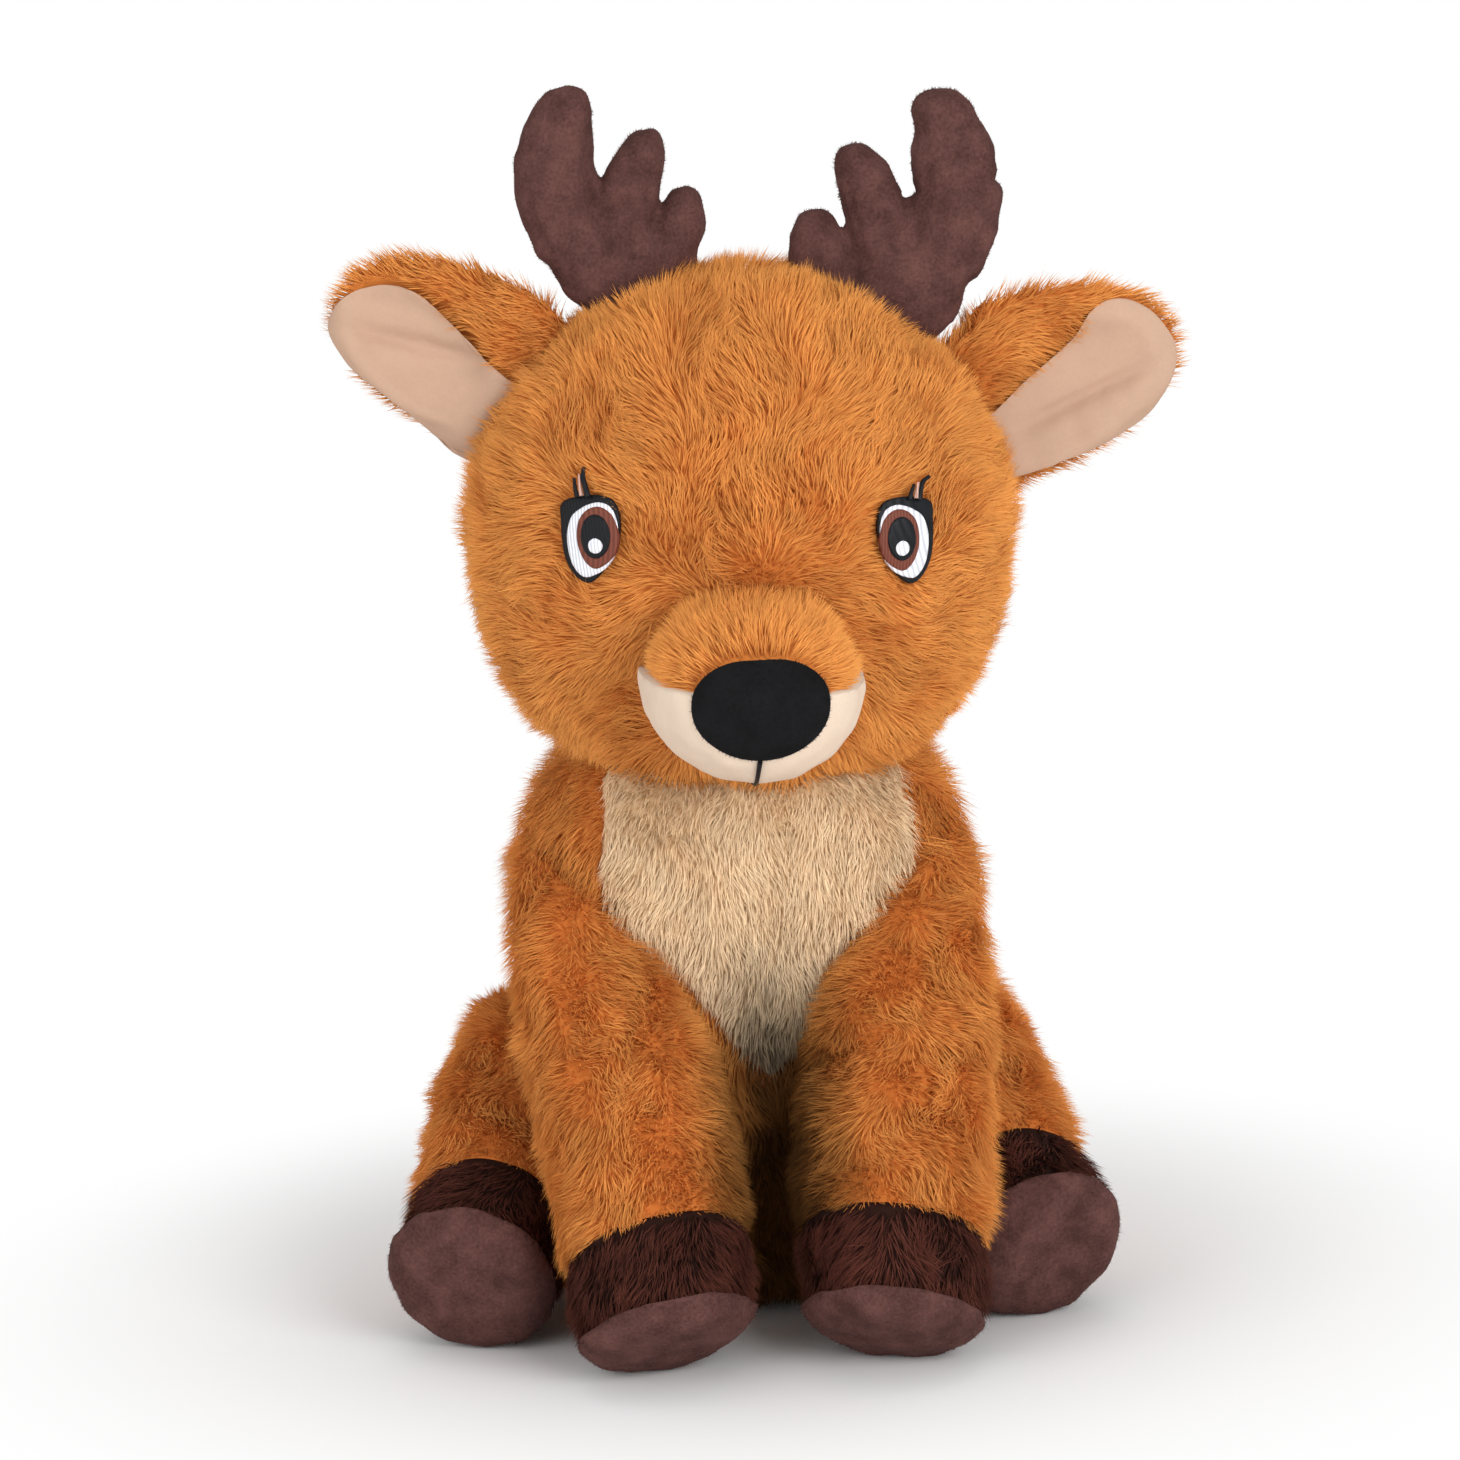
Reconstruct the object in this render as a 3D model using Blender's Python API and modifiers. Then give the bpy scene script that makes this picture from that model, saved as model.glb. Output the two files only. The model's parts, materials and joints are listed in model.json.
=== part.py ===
"""A sitting plush deer: fur covers, velour antlers, soles and ear linings, stitched face, fibre fills.

Metres, +Z up, the deer faces -Y. The origin is the middle of the flat seat under the trunk.
left is the deer's own left, +X. Each moving piece hangs from an empty on its joint's axis.
"""

import math

import bmesh
import bpy
from mathutils import Matrix, Vector

# Cloth and clearance
GAP = 0.0003
EAR_PLAY = 0.0016
TRAVEL_GAP = 0.0008
FUR = 0.0035
VELOUR = 0.0020
STITCH = 0.0009
SEAM_LIFT = 0.0005
OVERRUN = 0.030
BIG = 0.400

# Trunk
TRUNK_HEIGHT = 0.1485
TRUNK_HALF_WIDTH = 0.0525
TRUNK_HALF_DEPTH = 0.0470
BAG_TOP = 0.0240
CHEST_OFFSET = 0.0030
CHEST_HALF_WIDTH = 0.0375
CHEST_WIDEST = 0.1080
CHEST_TOP_RISE = 0.0600
CHEST_DROP = 0.0480

# Head, measured from the neck joint
NECK_PLACE = Vector((0.0000, -0.0170, 0.1360))
NECK_RADIUS = 0.0190
HEAD_LEAN = math.radians(3.5)
HEAD_TURN = math.radians(20)
HEAD_DROP = 0.0120
HEAD_RISE = 0.1165
HEAD_HALF_WIDTH = 0.0683
HEAD_HALF_DEPTH = 0.0570

# Muzzle, nose and mouth
MUZZLE_HEIGHT = 0.0240
MUZZLE_ROOT = 0.0300
MUZZLE_REACH = 0.0880
MUZZLE_HALF_WIDTH = 0.0252
MUZZLE_HALF_HEIGHT = 0.0227
MUZZLE_SEAM = 0.0015
NOSE_HALF_WIDTH = 0.0156
NOSE_HALF_HEIGHT = 0.0118
NOSE_PAD = 0.0024
NOSE_RISE = -0.0014
MOUTH_WIDTH = 0.0013

# Eyes
EYE_ACROSS = {"left": 0.0405, "right": 0.0425}
EYE_HEIGHT = 0.0550
EYE_TURN = math.radians(28)
EYE_TILT = math.radians(9)
EYE_HALF_WIDTH = 0.0077
EYE_HALF_HEIGHT = 0.0092
LID = 0.0014
IRIS_INWARD = 0.0007
IRIS_HALF_WIDTH = 0.0047
IRIS_HALF_HEIGHT = 0.0060
PUPIL_HALF_WIDTH = 0.0034
PUPIL_HALF_HEIGHT = 0.0046
GLINT_RADIUS = 0.0016
GLINT_DROP = 0.0018

# Ears
EAR_ACROSS = {"left": 0.0547, "right": 0.0573}
EAR_BACK = 0.0030
EAR_HEIGHTS = {"left": 0.0816, "right": 0.0890}
EAR_SUNK = 0.0070
EAR_LENGTHS = {"left": 0.0611, "right": 0.0506}
EAR_HALF_WIDTHS = {"left": 0.0262, "right": 0.0239}
EAR_HALF_THICK = 0.0070
EAR_ROOT = 0.0100
EAR_SPREADS = {"left": math.radians(70.5), "right": math.radians(66)}
EAR_SWEEP = math.radians(8)
EAR_FLOP = math.radians(20)
DISH_SIZE_SHARES = {"left": 1.08, "right": 0.98}
DISH_HALF_WIDTH = 0.0150
DISH_HALF_LENGTH = 0.0250
DISH_DEPTH = 0.0085
DISH_UP = 0.0265
DISH_LOW = 0.0040
DISH_TURN = math.radians(17)

# Antlers
ANTLER_SIZE_SHARES = {"left": 1.08, "right": 0.965}
ANTLER_ACROSS = {"left": 0.0280, "right": 0.0228}
ANTLER_BACK = 0.0011
ANTLER_HEIGHTS = {"left": 0.1067, "right": 0.1103}
ANTLER_SUNK = {"left": 0.0045, "right": 0.0015}
ANTLER_LEANS = {"left": math.radians(-3.5), "right": math.radians(2)}
ANTLER_BEND = math.radians(12)
PALM_HALF_WIDTH = 0.0170
PALM_HALF_THICK = 0.0080
PALM_ROOT = 0.0080
PALM_HEIGHT = 0.0180
BEAM_HALF_WIDTH = 0.0104
BEAM_START = 0.0020
BEAM_HEIGHT = 0.0485
MIDDLE_HALF_WIDTH = 0.0076
MIDDLE_START = 0.0040
MIDDLE_HEIGHT = 0.0378
INNER_HALF_WIDTH = 0.0066
INNER_START = -0.0030
INNER_HEIGHT = 0.0240
BEAM_HALF_THICK = 0.0075
MIDDLE_HALF_THICK = 0.0072
INNER_HALF_THICK = 0.0069

# Front legs, measured from the shoulder joint
SHOULDER = Vector((0.0450, -0.0230, 0.1077))
FRONT_TOP = 0.0140
FRONT_LENGTH = 0.1215
FRONT_HALF_WIDTH = 0.0248
FRONT_HALF_DEPTH = 0.0255
FRONT_LEAN = math.radians(33)
FRONT_TOES_IN = {"left": math.radians(10.6), "right": math.radians(11.4)}
FRONT_SWING = math.radians(30)
FRONT_CUFF = 0.0260
FRONT_SOLE = 0.0060

# Hind legs, measured from the hip joint
HIP = Vector((0.0500, 0.0030, 0.0410))
HIP_INSETS = {"left": 0.0040, "right": 0.0000}
HIND_BACK = 0.0280
HIND_LENGTH = 0.0690
HIND_HALF_WIDTH = 0.0270
HIND_HALF_HEIGHT = 0.0425
HIND_SLOPE = math.radians(69)
HIND_SPLAYS = {"left": math.radians(18.5), "right": math.radians(19.5)}
HIND_SWING = math.radians(15)
HIND_CUFF = 0.0250
HIND_SOLE = 0.0060

# Tail
TAIL_PLACE = Vector((0.0000, 0.0500, 0.0480))
TAIL_LENGTH = 0.0290
TAIL_ROOT = 0.0120
TAIL_HALF_WIDTH = 0.0130
TAIL_HALF_THICK = 0.0075
TAIL_LIFT = math.radians(-42)
TAIL_FLICK = math.radians(20)

# Rings from one end to the other: along, width, depth, shift across, shift in depth
TRUNK_SHARES = (
    (0.00, 0.58, 0.62, 0, 0.04), (0.012, 0.77, 0.82, 0, 0.05), (0.07, 0.91, 0.98, 0, 0.06),
    (0.26, 0.94, 1.07, 0, 0.08), (0.46, 0.945, 1.01, 0, 0.02), (0.66, 0.99, 0.90, 0, -0.16),
    (0.84, 1.01, 0.84, 0, -0.28), (0.95, 0.80, 0.66, 0, -0.30), (1.00, 0.40, 0.32, 0, -0.30),
)
HEAD_SHARES = (
    (0.00, 0.30, 0.32, 0, 0), (0.06, 0.62, 0.62, 0, 0), (0.20, 0.845, 0.865, 0, 0),
    (0.42, 0.99, 0.99, 0, 0), (0.62, 0.975, 0.98, 0, 0), (0.80, 0.79, 0.82, 0, 0),
    (0.93, 0.49, 0.53, 0, 0), (1.00, 0.18, 0.20, 0, 0),
)
MUZZLE_SHARES = (
    (0.00, 1.06, 1.02, 0, 0), (0.40, 1.04, 1.01, 0, 0), (0.68, 0.97, 0.96, 0, 0),
    (0.86, 0.82, 0.81, 0, 0), (0.96, 0.58, 0.57, 0, 0), (1.00, 0.30, 0.29, 0, 0),
)
EAR_SHARES = (
    (0.00, 0.92, 0.90, 0, 0), (0.30, 1.00, 1.00, 0, 0), (0.62, 0.93, 0.96, 0, 0),
    (0.84, 0.71, 0.83, 0, 0), (0.96, 0.44, 0.58, 0, 0), (1.00, 0.20, 0.30, 0, 0),
)
PALM_SHARES = (
    (0.00, 0.80, 0.85, 0.25, 0), (0.45, 1.02, 1.00, 0.38, 0), (0.80, 0.88, 0.90, 0.66, 0),
    (1.00, 0.40, 0.40, 0.75, 0),
)
BEAM_SHARES = (
    (0.00, 0.75, 0.70, 1.45, 0.05), (0.22, 1.03, 1.00, 1.83, 0.05), (0.48, 1.06, 1.00, 2.09, 0.05),
    (0.76, 0.86, 0.97, 2.07, 0.05), (0.94, 0.62, 0.75, 1.85, 0.05), (1.00, 0.28, 0.35, 1.77, 0.05),
)
MIDDLE_SHARES = (
    (0.00, 0.80, 0.70, 0.90, -0.06), (0.42, 1.05, 1.00, 0.68, -0.06), (0.74, 0.95, 0.95, 0.22, -0.06),
    (0.95, 0.66, 0.68, -0.10, -0.06), (1.00, 0.34, 0.36, -0.15, -0.06),
)
INNER_SHARES = (
    (0.00, 0.80, 0.70, 0.00, 0.09), (0.40, 1.05, 0.98, -0.95, 0.09), (0.74, 0.94, 0.95, -1.45, 0.09),
    (0.95, 0.62, 0.67, -1.50, 0.09), (1.00, 0.37, 0.34, -1.50, 0.09),
)
FRONT_SHARES = (
    (0.00, 0.28, 0.30, 0.00, 0), (0.05, 0.48, 0.50, 0.00, 0), (0.20, 0.66, 0.69, -0.02, 0),
    (0.41, 0.92, 0.95, -0.13, 0), (0.60, 0.985, 1.00, -0.16, 0), (0.82, 1.00, 0.98, -0.08, 0),
    (0.965, 0.94, 0.92, 0.00, 0), (1.00, 0.58, 0.58, 0.00, 0),
)
HIND_SHARES = (
    (0.00, 0.40, 0.42, 0, 0), (0.09, 0.80, 0.82, 0, 0), (0.30, 0.99, 1.01, 0, 0.01),
    (0.50, 0.92, 0.86, 0, 0.00), (0.72, 0.825, 0.59, 0, 0.00), (0.90, 0.82, 0.505, 0, 0.00),
    (0.975, 0.76, 0.465, 0, 0.00), (1.00, 0.52, 0.32, 0, 0.00),
)
TAIL_SHARES = (
    (0.00, 0.62, 0.80, 0, 0), (0.30, 0.94, 1.00, 0, 0), (0.60, 0.98, 0.98, 0, 0),
    (0.85, 0.64, 0.70, 0, 0), (1.00, 0.24, 0.30, 0, 0),
)

# The chest panel's outline: shares of its half width, and of its rise or drop from its widest line
CHEST_SHARES = (
    (0.80, 1.00), (0.98, 0.45), (1.00, 0.00), (0.93, -0.18), (0.75, -0.34), (0.51, -0.49), (0.35, -0.66),
    (0.21, -0.84), (0.00, -1.00), (-0.21, -0.84), (-0.35, -0.66), (-0.51, -0.49), (-0.75, -0.34),
    (-0.93, -0.18), (-1.00, 0.00), (-0.98, 0.45), (-0.80, 1.00),
)
NOSE_TAPER_SHARE = 0.16
EYE_TAPER_SHARE = 0.12
PATCH_SEGMENTS = 14
GLINT_SEGMENTS = 8
MOUTH_TOP_SHARE = 0.90
MOUTH_FOOT_SHARE = 1.02

# Colour, roughness
COATS = {
    "tan_fur": ((0.56, 0.24, 0.07), 0.95),
    "cream_fur": ((0.60, 0.42, 0.24), 0.95),
    "brown_fur": ((0.055, 0.018, 0.012), 0.95),
    "brown_velour": ((0.10, 0.050, 0.042), 0.85),
    "cream_velour": ((0.68, 0.46, 0.33), 0.80),
    "black_velour": ((0.010, 0.010, 0.011), 0.75),
    "black_thread": ((0.012, 0.013, 0.015), 0.55),
    "white_thread": ((0.80, 0.80, 0.82), 0.50),
    "brown_thread": ((0.21, 0.045, 0.025), 0.50),
    "fibre_fill": ((0.86, 0.86, 0.84), 0.90),
    "bag_cloth": ((0.70, 0.69, 0.66), 0.85),
}
SIDES = {"left": 1, "right": -1}


def clear_scene():
    for old in list(bpy.data.objects):
        bpy.data.objects.remove(old)


def new_collection(name, shown):
    made = bpy.data.collections.new(name)
    made.hide_render = not shown
    bpy.context.scene.collection.children.link(made)
    return made


def coat(name):
    made = bpy.data.materials.get(name)
    if made is None:
        colour, roughness = COATS[name]
        made = bpy.data.materials.new(name)
        made.use_nodes = True
        shader = made.node_tree.nodes["Principled BSDF"]
        shader.inputs["Base Color"].default_value = (*colour, 1)
        shader.inputs["Roughness"].default_value = roughness
        shader.inputs["Metallic"].default_value = 0
    return made


def new_object(name, mesh, place):
    """A helper until finished() makes a part of it: it cuts and is cut, but isn't shown."""
    made = bpy.data.objects.new(name, mesh)
    made.matrix_world = place
    made.hide_render = True
    made.display_type = "WIRE"
    bpy.data.collections["helpers"].objects.link(made)
    return made


def finished(made, name, material, hinge=None):
    """Turns a helper into a named part, which hangs from its joint's empty."""
    made.name = name
    made.hide_render = False
    made.display_type = "TEXTURED"
    made.data.materials.clear()
    made.data.materials.append(coat(material))
    bpy.data.collections["helpers"].objects.unlink(made)
    bpy.data.collections["plush_deer"].objects.link(made)
    if hinge:
        place = made.matrix_world.copy()
        made.parent = hinge
        made.matrix_parent_inverse = hinge.matrix_basis.inverted()
        made.matrix_basis = place
    return made


def joint(name, place):
    made = bpy.data.objects.new(name, None)
    made.matrix_basis = place
    bpy.data.collections["plush_deer"].objects.link(made)
    return made


def boolean(made, operation, tool):
    change = made.modifiers.new(operation.title(), "BOOLEAN")
    change.operation = operation
    change.solver = "EXACT"
    change.object = tool
    return made


def cut(made, *tools):
    for tool in tools:
        boolean(made, "DIFFERENCE", tool)
    return made


def keep(made, tool):
    return boolean(made, "INTERSECT", tool)


def turned(place, pivot, axis, angle):
    """place, turned about an axis through pivot, all in world space."""
    there = Matrix.Translation(pivot)
    return there @ Matrix.Rotation(angle, 4, axis) @ there.inverted() @ place


def mesh_of(bm, name):
    bmesh.ops.recalc_face_normals(bm, faces=bm.faces)
    mesh = bpy.data.meshes.new(name)
    bm.to_mesh(mesh)
    bm.free()
    mesh.shade_smooth()
    return mesh


def oval_point(wide, deep, angle, swing):
    """A point of an oval or, with a swing, of what the oval sweeps as it turns by that to each side."""
    if not swing:
        return Vector((wide * math.cos(angle), deep * math.sin(angle), 0))
    from_side = max(min(angle % math.pi, -angle % math.pi) - swing, 0)
    radius = wide * deep / math.hypot(deep * math.cos(from_side), wide * math.sin(from_side))
    return Vector((radius * math.cos(angle), radius * math.sin(angle), 0))


def stuffed(name, half_width, half_depth, run, shares, place, grow=0.0, segments=8, side=1, swing=0.0):
    """A stuffed form along its own Z, a loft of oval rings grown all round by grow.

    Outsides are smoothed, and the cage is widened so that they keep their size. Insides stay plain.
    """
    smooth = grow >= 0
    cage_share = 3 / (2 + math.cos(math.tau / segments)) if smooth else 1
    start, end = run
    way = math.copysign(1, end - start)
    start -= way * grow
    end += way * grow
    bm = bmesh.new()
    rings = []
    for along, width, depth, across, ahead in shares:
        wide = max(width * half_width + grow, GAP) * cage_share
        deep = max(depth * half_depth + grow, GAP) * cage_share
        middle = Vector((side * across * half_width, ahead * half_depth, start + along * (end - start)))
        angles = [math.tau * step / segments for step in range(segments)]
        rings.append([bm.verts.new(middle + oval_point(wide, deep, angle, swing)) for angle in angles])
    for low, high in zip(rings, rings[1:]):
        for step in range(segments):
            other = (step + 1) % segments
            bm.faces.new((low[step], low[other], high[other], high[step]))
    bm.faces.new(rings[0])
    bm.faces.new(rings[-1])
    made = new_object(name, mesh_of(bm, name), place)
    if smooth:
        change = made.modifiers.new("Smooth", "SUBSURF")
        change.levels = 1
        change.render_levels = 1
    made.modifiers.new("Flat faces", "TRIANGULATE")
    return made


def block(name, low, high, place):
    """A box between two corners of the place's own frame."""
    bm = bmesh.new()
    bmesh.ops.create_cube(bm, size=1)
    bmesh.ops.scale(bm, vec=Vector(high) - Vector(low), verts=bm.verts)
    bmesh.ops.translate(bm, vec=(Vector(low) + Vector(high)) / 2, verts=bm.verts)
    return new_object(name, mesh_of(bm, name), place)


def slab(name, low, high, place):
    """The stretch of a form between two heights of its own frame."""
    return block(name, (-BIG / 2, -BIG / 2, low), (BIG / 2, BIG / 2, high), place)


def pillar(name, radius, low, high, place):
    bm = bmesh.new()
    bmesh.ops.create_cone(bm, cap_ends=True, segments=24, radius1=radius, radius2=radius, depth=high - low)
    bmesh.ops.translate(bm, vec=(0, 0, (low + high) / 2), verts=bm.verts)
    return new_object(name, mesh_of(bm, name), place)


def prism(name, outlines, place, half_length=OVERRUN):
    """Flat outlines, one inside the other, extruded both ways along the place's own Z."""
    curve = bpy.data.curves.new(name, "CURVE")
    curve.dimensions = "2D"
    curve.fill_mode = "BOTH"
    curve.extrude = half_length
    for outline in outlines:
        spline = curve.splines.new("POLY")
        spline.points.add(len(outline) - 1)
        for point, (x, y) in zip(spline.points, outline):
            point.co = (x, y, 0, 1)
        spline.use_cyclic_u = True
    drawn = bpy.data.objects.new(name, curve)
    bpy.context.scene.collection.objects.link(drawn)
    mesh = bpy.data.meshes.new_from_object(drawn.evaluated_get(bpy.context.evaluated_depsgraph_get()))
    bpy.data.objects.remove(drawn)
    bm = bmesh.new()
    bm.from_mesh(mesh)
    bmesh.ops.remove_doubles(bm, verts=bm.verts, dist=GAP / 10)
    return new_object(name, mesh_of(bm, name), place)


def egg(half_width, half_height, taper_share=0.0, middle=(0, 0), segments=PATCH_SEGMENTS):
    """An oval that is narrower below by the taper."""
    points = []
    for step in range(segments):
        angle = math.tau * step / segments
        wide = half_width * (1 + taper_share * math.sin(angle))
        points.append((middle[0] + wide * math.cos(angle), middle[1] + half_height * math.sin(angle)))
    return points


# Where each form stands, and the joint that carries it
def neck_place():
    return Matrix.Translation(NECK_PLACE) @ Matrix.Rotation(HEAD_LEAN, 4, "Y")


def muzzle_place():
    there = Matrix.Translation((0, -MUZZLE_ROOT, MUZZLE_HEIGHT))
    return neck_place() @ there @ Matrix.Rotation(-math.pi / 2, 4, "X")


def face_place(across, height, turn):
    """Stands on the face and looks out of it: own X across, own Y up, own Z out."""
    there = Matrix.Translation((across, -HEAD_HALF_DEPTH, height))
    return neck_place() @ there @ Matrix.Rotation(turn, 4, "Z") @ Matrix.Rotation(math.pi / 2, 4, "X")


def ear_place(which):
    side = SIDES[which]
    there = Matrix.Translation((side * EAR_ACROSS[which], EAR_BACK, EAR_HEIGHTS[which]))
    spread = Matrix.Rotation(side * EAR_SPREADS[which], 4, "Y")
    return neck_place() @ there @ Matrix.Rotation(side * EAR_SWEEP, 4, "Z") @ spread


def ear_root(which):
    """The ear's own frame, which starts inside the head, below its hinge line."""
    return ear_place(which) @ Matrix.Translation((0, 0, -EAR_SUNK))


def antler_place(which):
    side = SIDES[which]
    there = Matrix.Translation((side * ANTLER_ACROSS[which], ANTLER_BACK, ANTLER_HEIGHTS[which]))
    return neck_place() @ there @ Matrix.Rotation(side * ANTLER_LEANS[which], 4, "Y")


def antler_root(which):
    return antler_place(which) @ Matrix.Translation((0, 0, -ANTLER_SUNK[which]))


def front_place(which):
    side = SIDES[which]
    there = Matrix.Translation((side * SHOULDER.x, SHOULDER.y, SHOULDER.z))
    toes_in = Matrix.Rotation(side * FRONT_TOES_IN[which], 4, "Y")
    return there @ toes_in @ Matrix.Rotation(-FRONT_LEAN, 4, "X")


def hind_place(which):
    side = SIDES[which]
    there = Matrix.Translation((side * (HIP.x - HIP_INSETS[which]), HIP.y, HIP.z))
    splay = Matrix.Rotation(side * HIND_SPLAYS[which], 4, "Z")
    return there @ splay @ Matrix.Rotation(-HIND_SLOPE, 4, "X")


def tail_place():
    return Matrix.Translation(TAIL_PLACE) @ Matrix.Rotation(TAIL_LIFT, 4, "X")


# The stuffed forms, each at any growth, so that covers, hollows, fills and clearances share one shape
def trunk_form(name, grow=0.0, place=Matrix.Identity(4)):
    run = (-SEAM_LIFT, TRUNK_HEIGHT)
    return stuffed(name, TRUNK_HALF_WIDTH, TRUNK_HALF_DEPTH, run, TRUNK_SHARES, place, grow, 10)


def head_form(name, grow=0.0, place=None, swing=0.0):
    run = (-HEAD_DROP, HEAD_RISE)
    place = place or neck_place()
    sizes = (HEAD_HALF_WIDTH, HEAD_HALF_DEPTH)
    return stuffed(name, *sizes, run, HEAD_SHARES, place, grow, 10, swing=swing)


def muzzle_form(name, grow=0.0):
    run = (0, MUZZLE_ROOT - MUZZLE_REACH)
    return stuffed(name, MUZZLE_HALF_WIDTH, MUZZLE_HALF_HEIGHT, run, MUZZLE_SHARES, muzzle_place(), grow, 8)


def front_form(name, which, grow=0.0, place=None):
    place = place or front_place(which)
    run = (FRONT_TOP, -FRONT_LENGTH)
    sizes = (FRONT_HALF_WIDTH, FRONT_HALF_DEPTH)
    return stuffed(name, *sizes, run, FRONT_SHARES, place, grow, 6, SIDES[which])


def hind_form(name, which, grow=0.0):
    run = (HIND_BACK, -HIND_LENGTH)
    sizes = (HIND_HALF_WIDTH, HIND_HALF_HEIGHT)
    return stuffed(name, *sizes, run, HIND_SHARES, hind_place(which), grow, 6, SIDES[which])


# What the larger forms take from the smaller ones
def floor_block():
    return block("floor", (-BIG, -BIG, -BIG), (BIG, BIG, 0), Matrix.Identity(4))


def head_sweep(grow):
    """What the head sweeps as it turns each way."""
    return head_form("head_sweep", grow, swing=HEAD_TURN)


def trunks_met(pivot, axis, *limits):
    """The trunk as a limb meets it, at rest and at each end of its travel."""
    tools = [trunk_form("trunk_rest", GAP)]
    for angle in limits:
        met = turned(Matrix.Identity(4), pivot, axis, -angle)
        tools.append(trunk_form("trunk_met", TRAVEL_GAP, met))
    return tools


def heads_met(place, limit):
    """The head as an ear or an antler meets it, at rest and bent each way about its own X."""
    axis = place.to_3x3() @ Vector((1, 0, 0))
    tools = [head_form("head_rest", GAP)]
    for angle in (-limit, limit):
        tools.append(head_form("head_met", GAP, turned(neck_place(), place.translation, axis, angle)))
    return tools


def build_trunk(sweep, floor):
    neck = pillar("neck_hole", NECK_RADIUS, -OVERRUN, OVERRUN, neck_place())
    hollow = cut(trunk_form("trunk_hollow", -FUR), head_sweep(TRAVEL_GAP + FUR))

    def wall(name):
        return cut(trunk_form(name), floor, sweep, hollow, neck)

    edge = chest_prism("chest_edge")
    finished(cut(wall("cover"), edge), "body_fur", "tan_fur")
    panel = keep(chest_prism("panel", -GAP), wall("panel_wall"))
    finished(panel, "chest_panel", "cream_fur")
    fill = cut(trunk_form("fill", -FUR - GAP), head_sweep(TRAVEL_GAP + FUR + GAP))
    finished(keep(fill, slab("over_bag", BAG_TOP, BIG, Matrix.Identity(4))), "body_fill", "fibre_fill")
    bag = keep(trunk_form("bag", -FUR - GAP), slab("in_bag", -BIG, BAG_TOP - GAP, Matrix.Identity(4)))
    finished(bag, "pellet_bag", "bag_cloth")


def chest_prism(name, grow=0.0):
    """The chest panel's outline, which stands upright and runs in from the front."""
    outline = []
    for across, up in CHEST_SHARES:
        reach = CHEST_TOP_RISE if up > 0 else CHEST_DROP
        outline.append((across * (CHEST_HALF_WIDTH + grow), up * (reach + grow)))
    there = Matrix.Translation((CHEST_OFFSET, -TRUNK_HALF_DEPTH, CHEST_WIDEST))
    return prism(name, [outline], there @ Matrix.Rotation(math.pi / 2, 4, "X"))


def build_head(hinge):
    neck = pillar("neck_mouth", NECK_RADIUS, -OVERRUN, OVERRUN, neck_place())
    cover = cut(head_form("cover"), head_form("head_hollow", -FUR), neck)
    finished(cover, "head_fur", "tan_fur", hinge)
    finished(head_form("fill", -FUR - GAP), "head_fill", "fibre_fill", hinge)


def build_muzzle(hinge):
    face = head_form("face", GAP)
    hollow = muzzle_form("muzzle_hollow", -FUR)
    above = block("above_seam", (-BIG, -BIG, -BIG), (BIG, -MUZZLE_SEAM - GAP / 2, BIG), muzzle_place())
    below = block("below_seam", (-BIG, -MUZZLE_SEAM + GAP / 2, -BIG), (BIG, BIG, BIG), muzzle_place())
    upper = keep(cut(muzzle_form("upper"), face, hollow), above)
    finished(upper, "muzzle_fur", "tan_fur", hinge)
    lower = keep(cut(muzzle_form("lower"), face, hollow), below)
    finished(lower, "muzzle_chin", "cream_velour", hinge)
    finished(cut(muzzle_form("fill", -FUR - GAP), face), "muzzle_fill", "fibre_fill", hinge)
    front = neck_place() @ Matrix.Translation((0, -MUZZLE_REACH, MUZZLE_HEIGHT + NOSE_RISE))
    front = front @ Matrix.Rotation(math.pi / 2, 4, "X")
    pad = prism("nose_pad", [egg(NOSE_HALF_WIDTH, NOSE_HALF_HEIGHT, NOSE_TAPER_SHARE)], front)
    pad = cut(keep(pad, muzzle_form("nose_skin", NOSE_PAD)), muzzle_form("nose_seat", GAP))
    finished(pad, "nose", "black_velour", hinge)
    top = -NOSE_HALF_HEIGHT * MOUTH_TOP_SHARE - NOSE_PAD
    foot = -MUZZLE_HALF_HEIGHT * MOUTH_FOOT_SHARE
    line = block("mouth_line", (-MOUTH_WIDTH / 2, foot, -OVERRUN), (MOUTH_WIDTH / 2, top, OVERRUN), front)
    line = cut(keep(line, muzzle_form("mouth_skin", STITCH + GAP)), muzzle_form("mouth_seat", GAP))
    finished(line, "mouth_stitch", "black_thread", hinge)


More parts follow.
